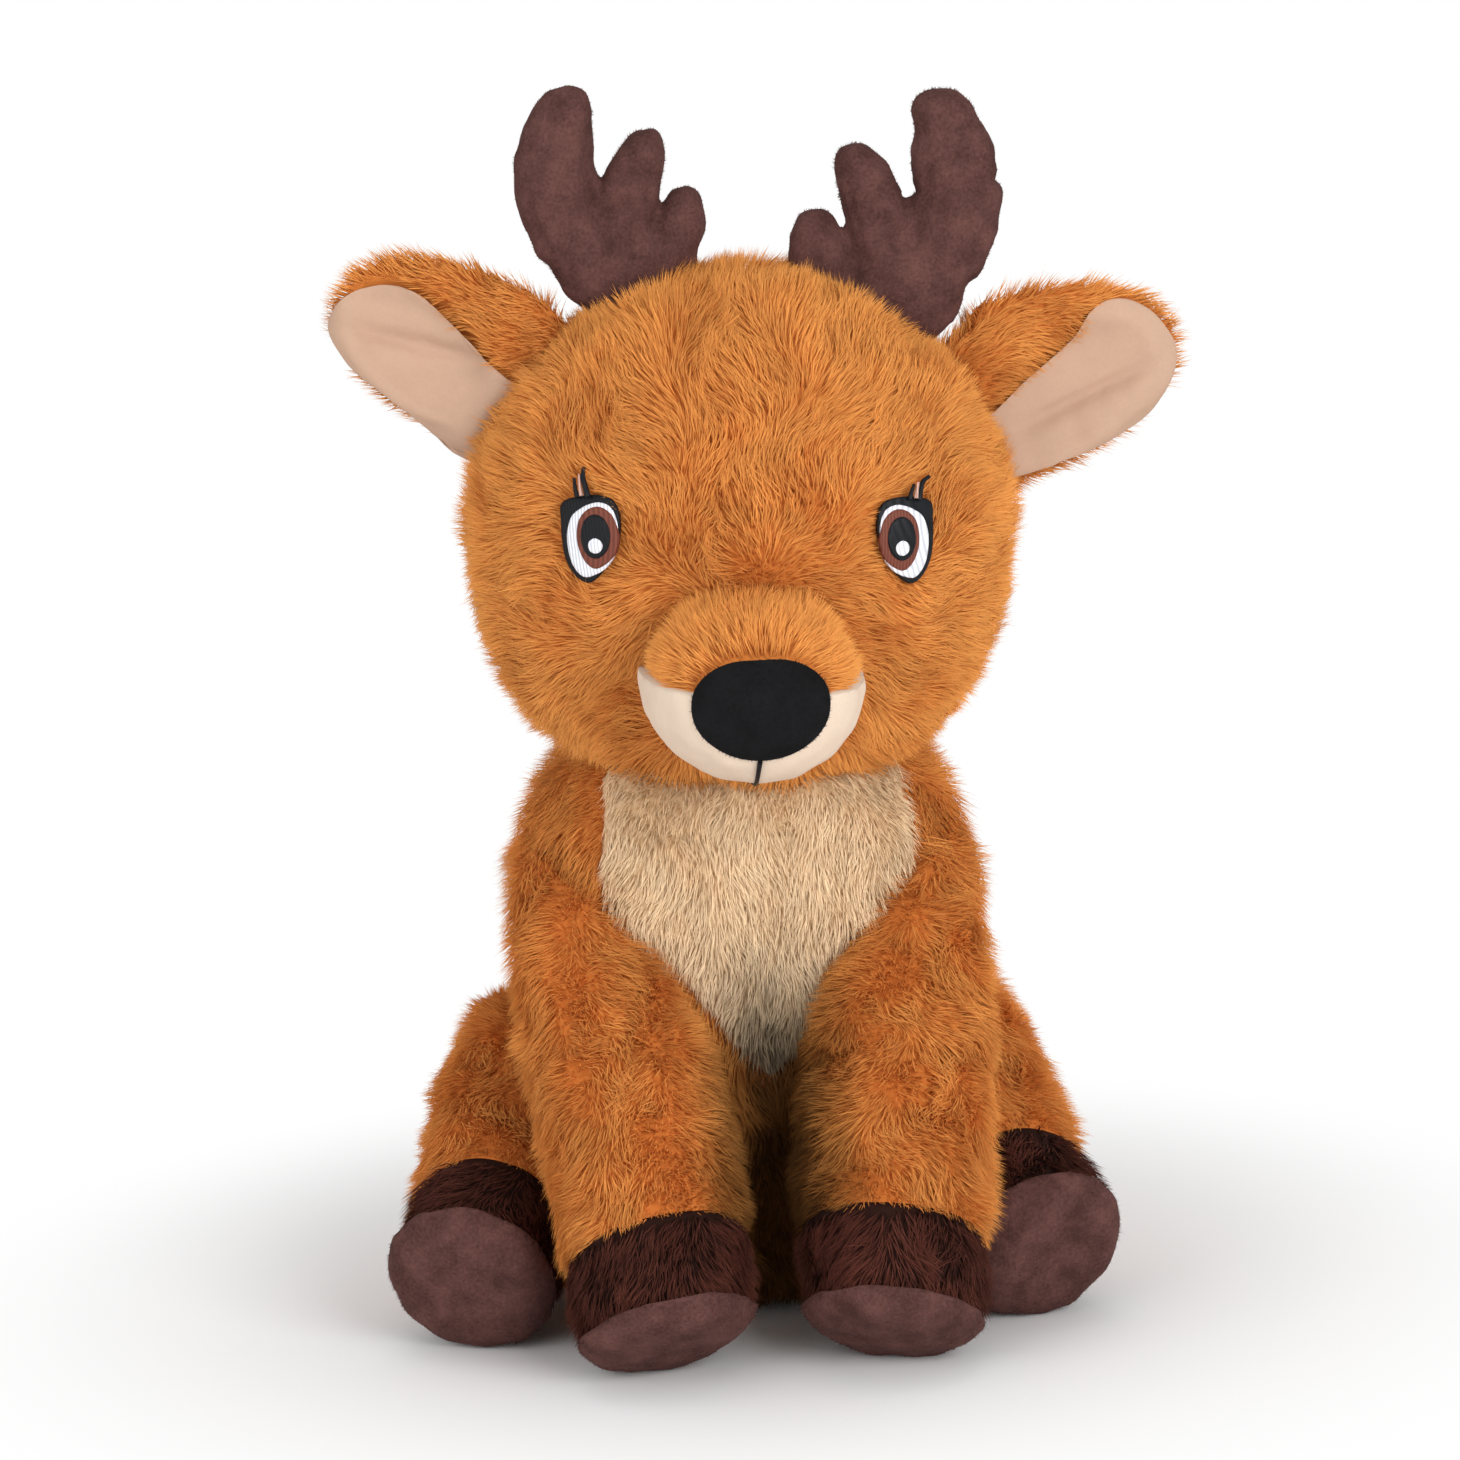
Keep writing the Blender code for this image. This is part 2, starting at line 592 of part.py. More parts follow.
def build_eye(which, skin, seat, hinge):
    """Five rings of thread, each inside the next, on the face."""
    side = SIDES[which]
    place = face_place(side * EYE_ACROSS[which], EYE_HEIGHT, side * EYE_TURN)
    place = place @ Matrix.Rotation(side * EYE_TILT, 4, "Z")
    iris_at = (-side * IRIS_INWARD, 0)
    glint_at = (-side * IRIS_INWARD, -GLINT_DROP)

    def almond(inset):
        return egg(EYE_HALF_WIDTH - inset, EYE_HALF_HEIGHT - inset, EYE_TAPER_SHARE)

    def iris(inset):
        return egg(IRIS_HALF_WIDTH - inset, IRIS_HALF_HEIGHT - inset, 0, iris_at)

    def pupil(inset):
        return egg(PUPIL_HALF_WIDTH - inset, PUPIL_HALF_HEIGHT - inset, 0, iris_at)

    def glint(inset):
        return egg(GLINT_RADIUS - inset, GLINT_RADIUS - inset, 0, glint_at, GLINT_SEGMENTS)

    layers = {
        "eye_outline": ("black_thread", [almond(0), almond(LID)]),
        "eye_white": ("white_thread", [almond(LID + GAP), iris(0)]),
        "eye_iris": ("brown_thread", [iris(GAP), pupil(0)]),
        "eye_pupil": ("black_thread", [pupil(GAP), glint(0)]),
        "eye_glint": ("white_thread", [glint(GAP)]),
    }
    for name, (thread, outlines) in layers.items():
        layer = cut(keep(prism(name, outlines, place), skin), seat)
        finished(layer, f"{name}_{which}", thread, hinge)


def ear_dish(name, which, grow):
    """The hollow at the front of the ear, low on the root side."""
    side = SIDES[which]
    size = DISH_SIZE_SHARES[which]
    place = ear_root(which) @ Matrix.Translation((side * DISH_LOW, -EAR_HALF_THICK, DISH_UP * size))
    place = place @ Matrix.Rotation(-side * DISH_TURN, 4, "Y")
    bm = bmesh.new()
    bmesh.ops.create_uvsphere(bm, u_segments=16, v_segments=10, radius=1)
    halves = (DISH_HALF_WIDTH * size + grow, DISH_DEPTH + grow, DISH_HALF_LENGTH * size + grow)
    bmesh.ops.scale(bm, vec=halves, verts=bm.verts)
    return new_object(name, mesh_of(bm, name), place)


def build_ear(which, hinge):
    tools = [*heads_met(ear_place(which), EAR_FLOP), antler_tubes(which, EAR_PLAY)]

    def blade(name):
        run = (-EAR_ROOT, EAR_LENGTHS[which])
        sizes = (EAR_HALF_WIDTHS[which], EAR_HALF_THICK)
        form = stuffed(name, *sizes, run, EAR_SHARES, ear_root(which))
        return cut(form, *tools)

    finished(cut(blade("ear"), ear_dish("dish", which, 0.0)), f"ear_fur_{which}", "tan_fur", hinge)
    lining = cut(ear_dish("lining", which, -GAP), ear_dish("dish_face", which, -GAP - VELOUR))
    lining = keep(lining, blade("ear_blade"))
    finished(lining, f"ear_lining_{which}", "cream_velour", hinge)


def antler_tubes(which, grow):
    """The palm and its three tines, joined into one soft form."""
    size = ANTLER_SIZE_SHARES[which]

    def tube(name, half_width, half_thick, start, end, shares):
        run = (start * size, end * size)
        place = antler_root(which)
        return stuffed(name, half_width * size, half_thick, run, shares, place, grow, 6, SIDES[which])

    tines = (
        ("beam", BEAM_HALF_WIDTH, BEAM_HALF_THICK, BEAM_START, BEAM_HEIGHT, BEAM_SHARES),
        ("middle_tine", MIDDLE_HALF_WIDTH, MIDDLE_HALF_THICK, MIDDLE_START, MIDDLE_HEIGHT, MIDDLE_SHARES),
        ("inner_tine", INNER_HALF_WIDTH, INNER_HALF_THICK, INNER_START, INNER_HEIGHT, INNER_SHARES),
    )
    palm = tube("palm", PALM_HALF_WIDTH, PALM_HALF_THICK, -PALM_ROOT, PALM_HEIGHT, PALM_SHARES)
    for sizes in tines:
        boolean(palm, "UNION", tube(*sizes))
    return palm


def build_antler(which, hinge):
    heads = heads_met(antler_place(which), ANTLER_BEND)
    cover = cut(antler_tubes(which, 0.0), *heads, antler_tubes(which, -VELOUR))
    finished(cover, f"antler_{which}", "brown_velour", hinge)
    fill = cut(antler_tubes(which, -VELOUR - GAP), *heads)
    finished(fill, f"antler_fill_{which}", "fibre_fill", hinge)


def build_leg(kind, which, form, place, length, cuff, sole, tools, hinge):
    """A cover open at the root, a cuff, a sole that closes it, and the fill."""
    whole = cut(form("whole", which), *tools)
    hollow = form("hollow", which, -FUR)
    pieces = (
        ("fur", "tan_fur", cuff - length, BIG),
        ("cuff", "brown_fur", sole - length, cuff - length - GAP),
        ("sole", "brown_velour", -BIG, sole - length - GAP),
    )
    for piece, material, low, high in pieces:
        made = cut(keep(slab(piece, low, high, place), whole), hollow)
        finished(made, f"{kind}_leg_{piece}_{which}", material, hinge)
    finished(cut(form("fill", which, -FUR - GAP), *tools), f"{kind}_leg_fill_{which}", "fibre_fill", hinge)


def build_front_leg(which, sweep, floor, hinge):
    place = front_place(which)
    trunks = trunks_met(place.translation, Vector((-1, 0, 0)), FRONT_SWING)
    sizes = (FRONT_LENGTH, FRONT_CUFF, FRONT_SOLE)
    build_leg("front", which, front_form, place, *sizes, [floor, *trunks, sweep], hinge)


def build_hind_leg(which, floor, hinge):
    place = hind_place(which)
    trunks = trunks_met(place.translation, Vector((0, 0, SIDES[which])), HIND_SWING)
    sizes = (HIND_LENGTH, HIND_CUFF, HIND_SOLE)
    tools = [floor, *trunks, front_form("front_rest", which, TRAVEL_GAP)]
    build_leg("hind", which, hind_form, place, *sizes, tools, hinge)


def build_tail(hinge):
    run = (-TAIL_ROOT, TAIL_LENGTH)
    sizes = (TAIL_HALF_WIDTH, TAIL_HALF_THICK)
    form = stuffed("tail_form", *sizes, run, TAIL_SHARES, tail_place(), segments=6)
    trunks = trunks_met(TAIL_PLACE, Vector((1, 0, 0)), -TAIL_FLICK, TAIL_FLICK)
    finished(cut(form, *trunks), "tail", "tan_fur", hinge)


def main():
    clear_scene()
    new_collection("plush_deer", True)
    new_collection("helpers", False)
    floor = floor_block()
    sweep = head_sweep(TRAVEL_GAP)
    neck = joint("neck_joint", neck_place())
    build_trunk(sweep, floor)
    build_head(neck)
    build_muzzle(neck)
    build_tail(joint("tail_joint", tail_place()))
    skin = head_form("eye_skin", STITCH + GAP)
    seat = head_form("eye_seat", GAP)
    for which in SIDES:
        build_eye(which, skin, seat, neck)
        build_ear(which, joint(f"ear_joint_{which}", ear_place(which)))
        build_antler(which, joint(f"antler_joint_{which}", antler_place(which)))
        build_front_leg(which, sweep, floor, joint(f"shoulder_joint_{which}", front_place(which)))
        build_hind_leg(which, floor, joint(f"hip_joint_{which}", hind_place(which)))


main()
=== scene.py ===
"""A sitting plush deer, dressed: fur cloth with its pile, velour antlers and soles, and a stitched face."""

import contextlib
import functools
import json
import math

import bmesh
import bpy
import numpy as np
from bpy.props import FloatProperty, FloatVectorProperty, PointerProperty
from mathutils import Matrix, Vector
from mathutils.bvhtree import BVHTree
from mathutils.kdtree import KDTree

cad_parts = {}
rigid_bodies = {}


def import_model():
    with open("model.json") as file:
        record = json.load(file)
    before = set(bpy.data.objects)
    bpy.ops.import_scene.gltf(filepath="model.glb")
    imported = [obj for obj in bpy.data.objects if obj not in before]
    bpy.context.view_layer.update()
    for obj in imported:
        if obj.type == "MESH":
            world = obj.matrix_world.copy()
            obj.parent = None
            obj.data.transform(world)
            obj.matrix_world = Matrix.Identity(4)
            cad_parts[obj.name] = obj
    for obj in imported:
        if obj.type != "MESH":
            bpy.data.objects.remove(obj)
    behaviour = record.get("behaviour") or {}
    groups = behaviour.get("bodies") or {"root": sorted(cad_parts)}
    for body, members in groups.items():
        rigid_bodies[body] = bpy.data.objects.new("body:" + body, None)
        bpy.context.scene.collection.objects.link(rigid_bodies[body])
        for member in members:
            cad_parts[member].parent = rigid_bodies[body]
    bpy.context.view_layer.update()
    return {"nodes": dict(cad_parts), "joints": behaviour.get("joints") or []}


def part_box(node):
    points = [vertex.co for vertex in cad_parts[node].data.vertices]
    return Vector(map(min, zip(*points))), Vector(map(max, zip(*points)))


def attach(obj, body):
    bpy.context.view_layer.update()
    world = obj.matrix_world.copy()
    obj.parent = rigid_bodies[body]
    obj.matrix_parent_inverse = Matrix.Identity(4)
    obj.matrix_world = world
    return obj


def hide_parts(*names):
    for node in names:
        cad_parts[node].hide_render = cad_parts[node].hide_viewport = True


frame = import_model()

bl_info = {
    "name": "Plush Deer",
    "version": (1, 0, 0),
    "blender": (4, 5, 0),
    "location": "View3D > Sidebar > Plush Deer",
    "description": "Sews a sitting plush deer with a real pile around its frame",
    "category": "Add Mesh",
}

SIDES = {"left": 1, "right": -1}
NODES = frame["nodes"]
JOINTS = {joint["name"]: joint for joint in frame["joints"]}
NOSE_TIP = Vector((0.0, -0.105, 0.160))

# How near the faces of one seam lie, how far a cloth passes the seam to its rival, and how thick a let-in cloth is
SEAM_REACH = 0.0007
SEAM_PLAY = 0.0003
LET_IN_CLOTH = 0.0010
# Faces whose normals meet a neighbour's at less than this cosine look towards it, and are carried on into it
FACING_AWAY = -0.3
# The trunk is lifted to the shoulders above this height, over this much of it
SHOULDER_HEIGHT, SHOULDER_BLEND = 0.085, 0.015
# The narrow fold between the front legs, where shadow is painted into the pile: its top, middle, half width and
# back, and how far it takes to fade there
FOLD_TOP, FOLD_TOP_FADE = 0.098, 0.030
FOLD_MIDDLE, FOLD_HALF_WIDTH = 0.003, 0.015
FOLD_BACK, FOLD_BACK_FADE = 0.010, 0.02
# How much painted shadow darkens tufts and their cloth in the fold, and the darkest that each gets
TUFT_SHADE, DARKEST_TUFT = 2.7, -2.2
CLOTH_SHADE, DARKEST_CLOTH = 2.2, -1.7
# Stuffing: pressure, frames and the cloth's stiffness against bending
STUFFING_PRESSURE, STUFFING_FRAMES, CLOTH_BENDING = 40.0, 12, 0.05
# How deep and how wide a sewn seam across an antler is
SEAM_GROOVE = 0.0011
# How near the trunk a leg's faces lie that are carried on into it. The hind legs' hollow behind the hip needs more.
HIP_REACH = {"front_leg": 0.0040, "hind_leg": 0.0105}
# How far the top of the pile may be from its own node
PILE_REACH = 0.0095
# How deep in another body the pile isn't seen, and how wide a rim of that it keeps
HIDDEN_DEPTH, HIDDEN_RIM = 0.0040, 0.0025
# How far over the top of the pile a patch still covers it
PATCH_ROOM = 0.004
# How deep in their cloth the feet of strands stand, and how low over the floor strands and soles may be
FOOT_DEPTH = 0.0004
LOWEST_TIP, LOWEST_SOLE = 0.0003, 0.0001
# A place that nothing is near
FAR_AWAY = (9, 9, 9)
# How far over a surface a ray on to it starts
RAY_START = 0.03
# How far a tuft's rings lie below even steps, and how much fuller it is at its middle
RING_DROP, TUFT_BELLY = 0.08, 0.9
# How much of a tuft's shading comes from its own faces, and how much from the softened normals
OWN_SHADING, SHARED_SHADING = 0.66, 0.34
# Stage: where the floor's fade to white starts and ends, how strong the light from all round is, and each light's
# name, place, size and power
WHITE = (1, 1, 1, 1)
FLOOR_FADE = 0.09, 0.22
SKY_STRENGTH = 0.55
LIGHTS = (
    ("key", (0.75, -1.35, 0.62), 0.9, 17),
    ("fill", (-1.05, -0.95, 0.50), 1.1, 8),
    ("top", (0.0, 0.4, 1.5), 1.2, 3),
)
# The camera's sensor in millimetres, and the middle of the picture
SENSOR = 36
PICTURE_MIDDLE = Vector((-0.001294, -0.016675, 0.139129))


def length(name, text, default):
    return FloatProperty(name=name, description=text, default=default, unit="LENGTH", precision=5)


def colour(name, text, default):
    return FloatVectorProperty(name=name, description=text, default=default, subtype="COLOR", min=0, max=1)


def angle(name, text, degrees):
    return FloatProperty(name=name, description=text, default=math.radians(degrees), subtype="ANGLE")


class PileSizes(bpy.types.PropertyGroup):
    depth: length("Backing depth", "How far the woven backing lies below the tips of the long pile", 0.0046)
    strand: length("Strand length", "Length of the long pile's strands", 0.0077)
    width: length("Strand width", "Width of a tuft of the long pile at its foot", 0.00041)
    density: FloatProperty(name="Density", description="Tufts on each square millimetre of long pile", default=2.6)
    nap: length("Nap length", "Length of the velour's short pile", 0.0012)
    voxel: length("Backing detail", "Size of the cells that the stuffed forms are rounded with", 0.0024)


class ClothColours(bpy.types.PropertyGroup):
    tan_root: colour("Tan root", "Foot of the tan pile", (0.560, 0.178, 0.036))
    tan_tip: colour("Tan tip", "Tips of the tan pile", (0.705, 0.290, 0.070))
    cream_root: colour("Cream root", "Foot of the chest's pile", (0.640, 0.440, 0.252))
    cream_tip: colour("Cream tip", "Tips of the chest's pile", (0.840, 0.640, 0.415))
    brown_root: colour("Brown root", "Foot of the cuffs' pile", (0.018, 0.006, 0.004))
    brown_tip: colour("Brown tip", "Tips of the cuffs' pile", (0.095, 0.028, 0.018))
    brown_velour: colour("Brown velour", "Antlers and soles", (0.058, 0.024, 0.021))
    brown_worn: colour("Brown velour, brushed", "Antlers and soles where the nap stands up", (0.130, 0.056, 0.048))
    cream_velour: colour("Cream velour", "Chin", (0.760, 0.610, 0.480))
    blush_velour: colour("Blush velour", "Ear linings", (0.530, 0.345, 0.245))
    black_velour: colour("Black velour", "Nose", (0.004, 0.004, 0.0045))
    black_thread: colour("Black thread", "Lids, lashes, pupils and mouth", (0.005, 0.006, 0.008))
    white_thread: colour("White thread", "Whites and glints of the eyes", (0.760, 0.770, 0.830))
    brown_thread: colour("Brown thread", "Irises", (0.165, 0.046, 0.028))
    pink_thread: colour("Pink thread", "The accent between the lashes", (0.560, 0.330, 0.260))


class StageSizes(bpy.types.PropertyGroup):
    distance: length("Camera distance", "From the lens to the deer", 1.30)
    frame_width: length("Frame width", "Width of the picture at the deer", 0.34836)
    turn: angle("Camera turn", "Angle round the deer", -3.0)
    rise: angle("Camera rise", "Angle above the deer", 10.0)
    roll: angle("Camera roll", "Tilt of the picture", -2.6)
    floor: colour("Floor", "The pale floor", (0.93, 0.93, 0.93))


# Making and shaping pieces
def alone(piece):
    """Selects this piece only, for the operators that follow."""
    bpy.ops.object.select_all(action="DESELECT")
    piece.select_set(True)
    bpy.context.view_layer.objects.active = piece


def changed(piece, kind, **settings):
    """Adds a modifier and applies it."""
    alone(piece)
    modifier = piece.modifiers.new(kind.title(), kind)
    for name, value in settings.items():
        setattr(modifier, name, value)
    bpy.ops.object.modifier_apply(modifier=modifier.name)


def smoothed(piece, steps):
    """Evens out a piece's surface and shades it smooth."""
    changed(piece, "SMOOTH", factor=0.5, iterations=steps)
    piece.data.shade_smooth()
    return piece


@contextlib.contextmanager
def reshaped(mesh):
    """A mesh as a shape to edit, which is written back at the end."""
    shape = bmesh.new()
    shape.from_mesh(mesh)
    yield shape
    shape.to_mesh(mesh)
    shape.free()


def new_piece(name, mesh):
    piece = bpy.data.objects.new(name, mesh)
    bpy.context.scene.collection.objects.link(piece)
    return piece


def cast(name, *nodes):
    """One mesh with the shapes of these nodes."""
    shape = bmesh.new()
    for node in nodes:
        shape.from_mesh(NODES[node].data)
    bmesh.ops.remove_doubles(shape, verts=shape.verts, dist=0.00001)
    mesh = bpy.data.meshes.new(name)
    shape.to_mesh(mesh)
    shape.free()
    return new_piece(name, mesh)


def outer_only(piece):
    """Drops the small closed pockets that the gap between a cover and its fill leaves."""
    with reshaped(piece.data) as shape:
        left = set(shape.verts)
        groups = []
        while left:
            group = [left.pop()]
            for vert in group:
                for edge in vert.link_edges:
                    other = edge.other_vert(vert)
                    if other in left:
                        left.remove(other)
                        group.append(other)
            groups.append(group)
        groups.sort(key=len)
        for group in groups[:-1]:
            bmesh.ops.delete(shape, geom=group, context="VERTS")


def plugged(piece, nodes, reach, depth):
    """Carries the faces that press against these nodes on into them, as sewn pieces are joined."""
    tree = tree_over(*nodes)
    with reshaped(piece.data) as shape:
        shape.normal_update()
        met = []
        for face in shape.faces:
            place, normal = tree.find_nearest(face.calc_center_median(), reach)[:2]
            if place and face.normal.dot(normal) < FACING_AWAY:
                met.append(face)
        if not met:
            raise RuntimeError(f"{piece.name} meets none of {nodes}")
        carried = bmesh.ops.extrude_face_region(shape, geom=met)["geom"]
        bmesh.ops.delete(shape, geom=met, context="FACES_ONLY")
        for vert in carried:
            if isinstance(vert, bmesh.types.BMVert):
                place, normal = tree.find_nearest(vert.co)[:2]
                vert.co = place - normal * depth


def rounded(name, nodes, voxel, steps, root=None, closing=0):
    """A soft closed form over these nodes.

    root holds the nodes that it is sewn to, how near they are and how far it is carried on into them. Gaps up to
    twice as wide as closing are closed.
    """
    piece = cast(name, *nodes)
    if root:
        plugged(piece, *root)
    changed(piece, "REMESH", mode="VOXEL", voxel_size=voxel, adaptivity=0)
    for way in (closing, -closing) if closing else ():
        lifted(piece, way)
        changed(piece, "REMESH", mode="VOXEL", voxel_size=voxel, adaptivity=0)
    outer_only(piece)
    return smoothed(piece, steps)


def lifted(piece, heights):
    """Moves a surface outwards, all by one height or each point by its own."""
    put_points(piece, points_of(piece.data) + normals_of(piece.data) * heights)


def raised_to(piece, nodes, height, reach):
    """Lifts a form's surface where it comes near other nodes, so that it meets them without a step."""
    points = points_of(piece.data)
    share = 1 - gaps_to(tree_over(*nodes), points, reach) / reach
    share *= np.clip((points[:, 2] - SHOULDER_HEIGHT) / SHOULDER_BLEND, 0, 1)
    lifted(piece, (height * share)[:, None])
    smoothed(piece, 4)


def sunk(piece, depth):
    """Moves a form's surface in by the pile's depth."""
    lifted(piece, -depth)
    return smoothed(piece, 3)


def gaps_to(tree, points, far):
    """How far each place is from the tree's shapes, up to a limit."""
    gaps = (tree.find_nearest(point, far)[3] for point in points.tolist())
    return np.array([far if gap is None else gap for gap in gaps])


@functools.cache
def form_over(body):
    """A search tree over the outer form of all that one body holds."""
    form = rounded(f"{body}_form", FORMS[body], 0.0022, 4)
    tree = tree_over(form)
    bpy.data.objects.remove(form)
    return tree


def inside_gaps(bodies, points, far=0.012):
    """How far each place is outside the nearest of these bodies' forms, negative inside one."""
    least = np.full(len(points), far)
    for body in bodies:
        tree = form_over(body)
        for number, point in enumerate(points.tolist()):
            place, normal, _, gap = tree.find_nearest(point, far)
            if place and gap < abs(least[number]):
                least[number] = gap if (Vector(point) - place).dot(normal) > 0 else -gap
            elif place and (Vector(point) - place).dot(normal) < 0:
                least[number] = min(least[number], -gap)
    return least


def facing(piece, node, rival, depth, reach):
    """A thin closed cloth over the part of a sunk skin that lies under this node, and not under its rival."""
    cloth = new_piece(f"{node}_cloth", piece.data.copy())
    with reshaped(cloth.data) as shape:
        shape.normal_update()
        tops = np.array([face.calc_center_median() + face.normal * depth for face in shape.faces])
        gaps = gaps_to(tree_over(node), tops, reach)
        covered = (gaps < reach) & (gaps <= gaps_to(tree_over(rival), tops, reach) + SEAM_PLAY)
        off = [face for face, kept in zip(shape.faces, covered) if not kept]
        bmesh.ops.delete(shape, geom=off, context="FACES")
    changed(cloth, "SOLIDIFY", thickness=LET_IN_CLOTH, offset=1)
    return cloth


def sliced(piece, name, place, normal):
    """A closed copy of the part of a form that lies beyond a plane."""
    part = new_piece(name, piece.data.copy())
    alone(part)
    bpy.ops.object.mode_set(mode="EDIT")
    bpy.ops.mesh.select_all(action="SELECT")
    bpy.ops.mesh.bisect(plane_co=place, plane_no=normal, use_fill=True, clear_inner=True)
    bpy.ops.object.mode_set(mode="OBJECT")
    return part


def seam_between(upper, lower):
    """The plane of the seam that joins two nodes: a place on it, and the way towards the upper one."""
    points = points_of(NODES[upper].data)
    met = points[near(tree_over(lower), points, SEAM_REACH)]
    middle = met.mean(axis=0)
    normal = np.linalg.svd(met - middle)[2][2]
    if normal @ (np.array(middle_of(upper)) - middle) < 0:
        normal = -normal
    return middle, normal


def smooth_loop(points, steps=8):
    """A smooth closed curve through these points."""
    points = np.array(points, float)
    before, after, later = (np.roll(points, -step, axis=0) for step in (-1, 1, 2))
    share = (np.arange(steps) / steps)[:, None, None]
    curve = 2 * points + (after - before) * share
    curve = curve + (2 * before - 5 * points + 4 * after - later) * share**2
    curve = (curve + (3 * points - before - 3 * after + later) * share**3) / 2
    return curve.transpose(1, 0, 2).reshape(-1, 2)


def patch(name, place, outline, lies_on, height, thickness, lift, segments, rings, edge=0.6):
    """A low crowned patch of this outline, laid on a surface.

    Its place is a middle, and its own X, Y and outward Z. It rises to height over the surface, reaches down to
    thickness below it, and is lifted by lift.
    """
    middle, across, up, out = (np.array(part) for part in place)
    outwards = Vector(out)
    loop = smooth_loop(outline)
    centre = loop.mean(axis=0)
    spokes = loop - centre
    angles = np.arctan2(spokes[:, 1], spokes[:, 0])
    order = np.argsort(angles)
    bpy.ops.object.select_all(action="DESELECT")
    bpy.ops.mesh.primitive_uv_sphere_add(segments=segments, ring_count=rings, radius=1)
    piece = bpy.context.object
    piece.name = name
    points = points_of(piece.data)
    turn = np.arctan2(points[:, 1], points[:, 0])
    reach = np.interp(turn, angles[order], np.linalg.norm(spokes, axis=1)[order], period=math.tau)
    reach = reach * np.hypot(points[:, 0], points[:, 1])
    flat = centre + reach[:, None] * np.stack([np.cos(turn), np.sin(turn)], axis=1)
    places = middle + flat[:, :1] * across + flat[:, 1:] * up
    levels = []
    for point in places.tolist():
        point = Vector(point)
        levels.append((under_ray(lies_on, point + outwards * RAY_START, -outwards, point) - point).dot(outwards))
    crown = np.sign(points[:, 2]) * np.abs(points[:, 2]) ** edge
    levels = np.array(levels) + lift + np.where(crown > 0, height * crown, thickness * crown)
    put_points(piece, places + levels[:, None] * out)
    with reshaped(piece.data) as shape:
        bmesh.ops.recalc_face_normals(shape, faces=shape.faces)
    reordered(piece.data)
    piece.data.shade_smooth()
    return piece


def reordered(mesh):
    """Puts a mesh's faces in one fixed order, because a new sphere has them in another order each time."""
    faces = []
    for face in mesh.polygons:
        corners = list(face.vertices)
        first = corners.index(min(corners))
        faces.append(corners[first:] + corners[:first])
    points = [vert.co.copy() for vert in mesh.vertices]
    mesh.clear_geometry()
    mesh.from_pydata(points, [], sorted(faces))


def under_ray(tree, start, way, otherwise):
    """Where a ray meets the tree's shapes, or else their place nearest to another point."""
    return tree.ray_cast(start, way, 2 * RAY_START)[0] or tree.find_nearest(otherwise)[0]


def tree_over(*things):
    """A search tree over the shapes of these nodes or pieces."""
    points = []
    faces = []
    for thing in things:
        mesh = NODES[thing].data if isinstance(thing, str) else thing.data
        start = len(points)
        points += [vert.co.copy() for vert in mesh.vertices]
        faces += [tuple(start + v for v in face.vertices) for face in mesh.polygons]
    return BVHTree.FromPolygons(points, faces)


def unit(vectors):
    return vectors / np.maximum(np.linalg.norm(vectors, axis=-1, keepdims=True), 1e-12)


def wander(points, step, seed):
    """A smooth random field, about -1 to 1, that changes over the step."""
    rng = np.random.default_rng(seed)
    total = np.zeros(len(points))
    for _ in range(7):
        way = unit(rng.normal(size=3)) * math.tau / (2 * step * rng.uniform(0.7, 1.5))
        total += np.sin(points @ way + rng.uniform(0, math.tau))
    return np.clip(total / 2.6, -1, 1)


def points_of(mesh):
    flat = np.empty(len(mesh.vertices) * 3, np.float32)
    mesh.vertices.foreach_get("co", flat)
    return flat.reshape(-1, 3).astype(float)


def normals_of(mesh):
    flat = np.empty(len(mesh.vertices) * 3, np.float32)
    mesh.vertices.foreach_get("normal", flat)
    return flat.reshape(-1, 3).astype(float)


def put_points(piece, points):
    piece.data.vertices.foreach_set("co", points.astype(np.float32).ravel())
    piece.data.update()


def stuffed(piece, cap, slack=0.03):
    """Presses the stuffing out against a slightly slack cloth in a simulation, which leaves soft folds.

    No point moves further than the cap.
    """
    scene = bpy.context.scene
    before = points_of(piece.data)
    alone(piece)
    cloth = piece.modifiers.new("Stuffing", "CLOTH")
    sewing = cloth.settings
    sewing.quality = 4
    sewing.use_pressure = True
    sewing.uniform_pressure_force = STUFFING_PRESSURE
    sewing.shrink_min = -slack
    sewing.bending_stiffness = CLOTH_BENDING
    sewing.effector_weights.gravity = 0
    cloth.collision_settings.use_collision = False
    for moment in range(1, STUFFING_FRAMES + 1):
        scene.frame_set(moment)
    bpy.ops.object.modifier_apply(modifier=cloth.name)
    scene.frame_set(1)
    moved = points_of(piece.data) - before
    far = np.linalg.norm(moved, axis=1)
    put_points(piece, before + moved * (np.minimum(far, cap) / np.maximum(far, 1e-9))[:, None])
    return smoothed(piece, 2)


def puckered(piece, height, step, seed):
    """Lifts and sinks the cloth by small soft folds."""
    points = points_of(piece.data)
    folds = wander(points, step, seed) + 0.5 * wander(points, step / 2.3, seed + 1)
    lifted(piece, (height * folds / 1.5)[:, None])


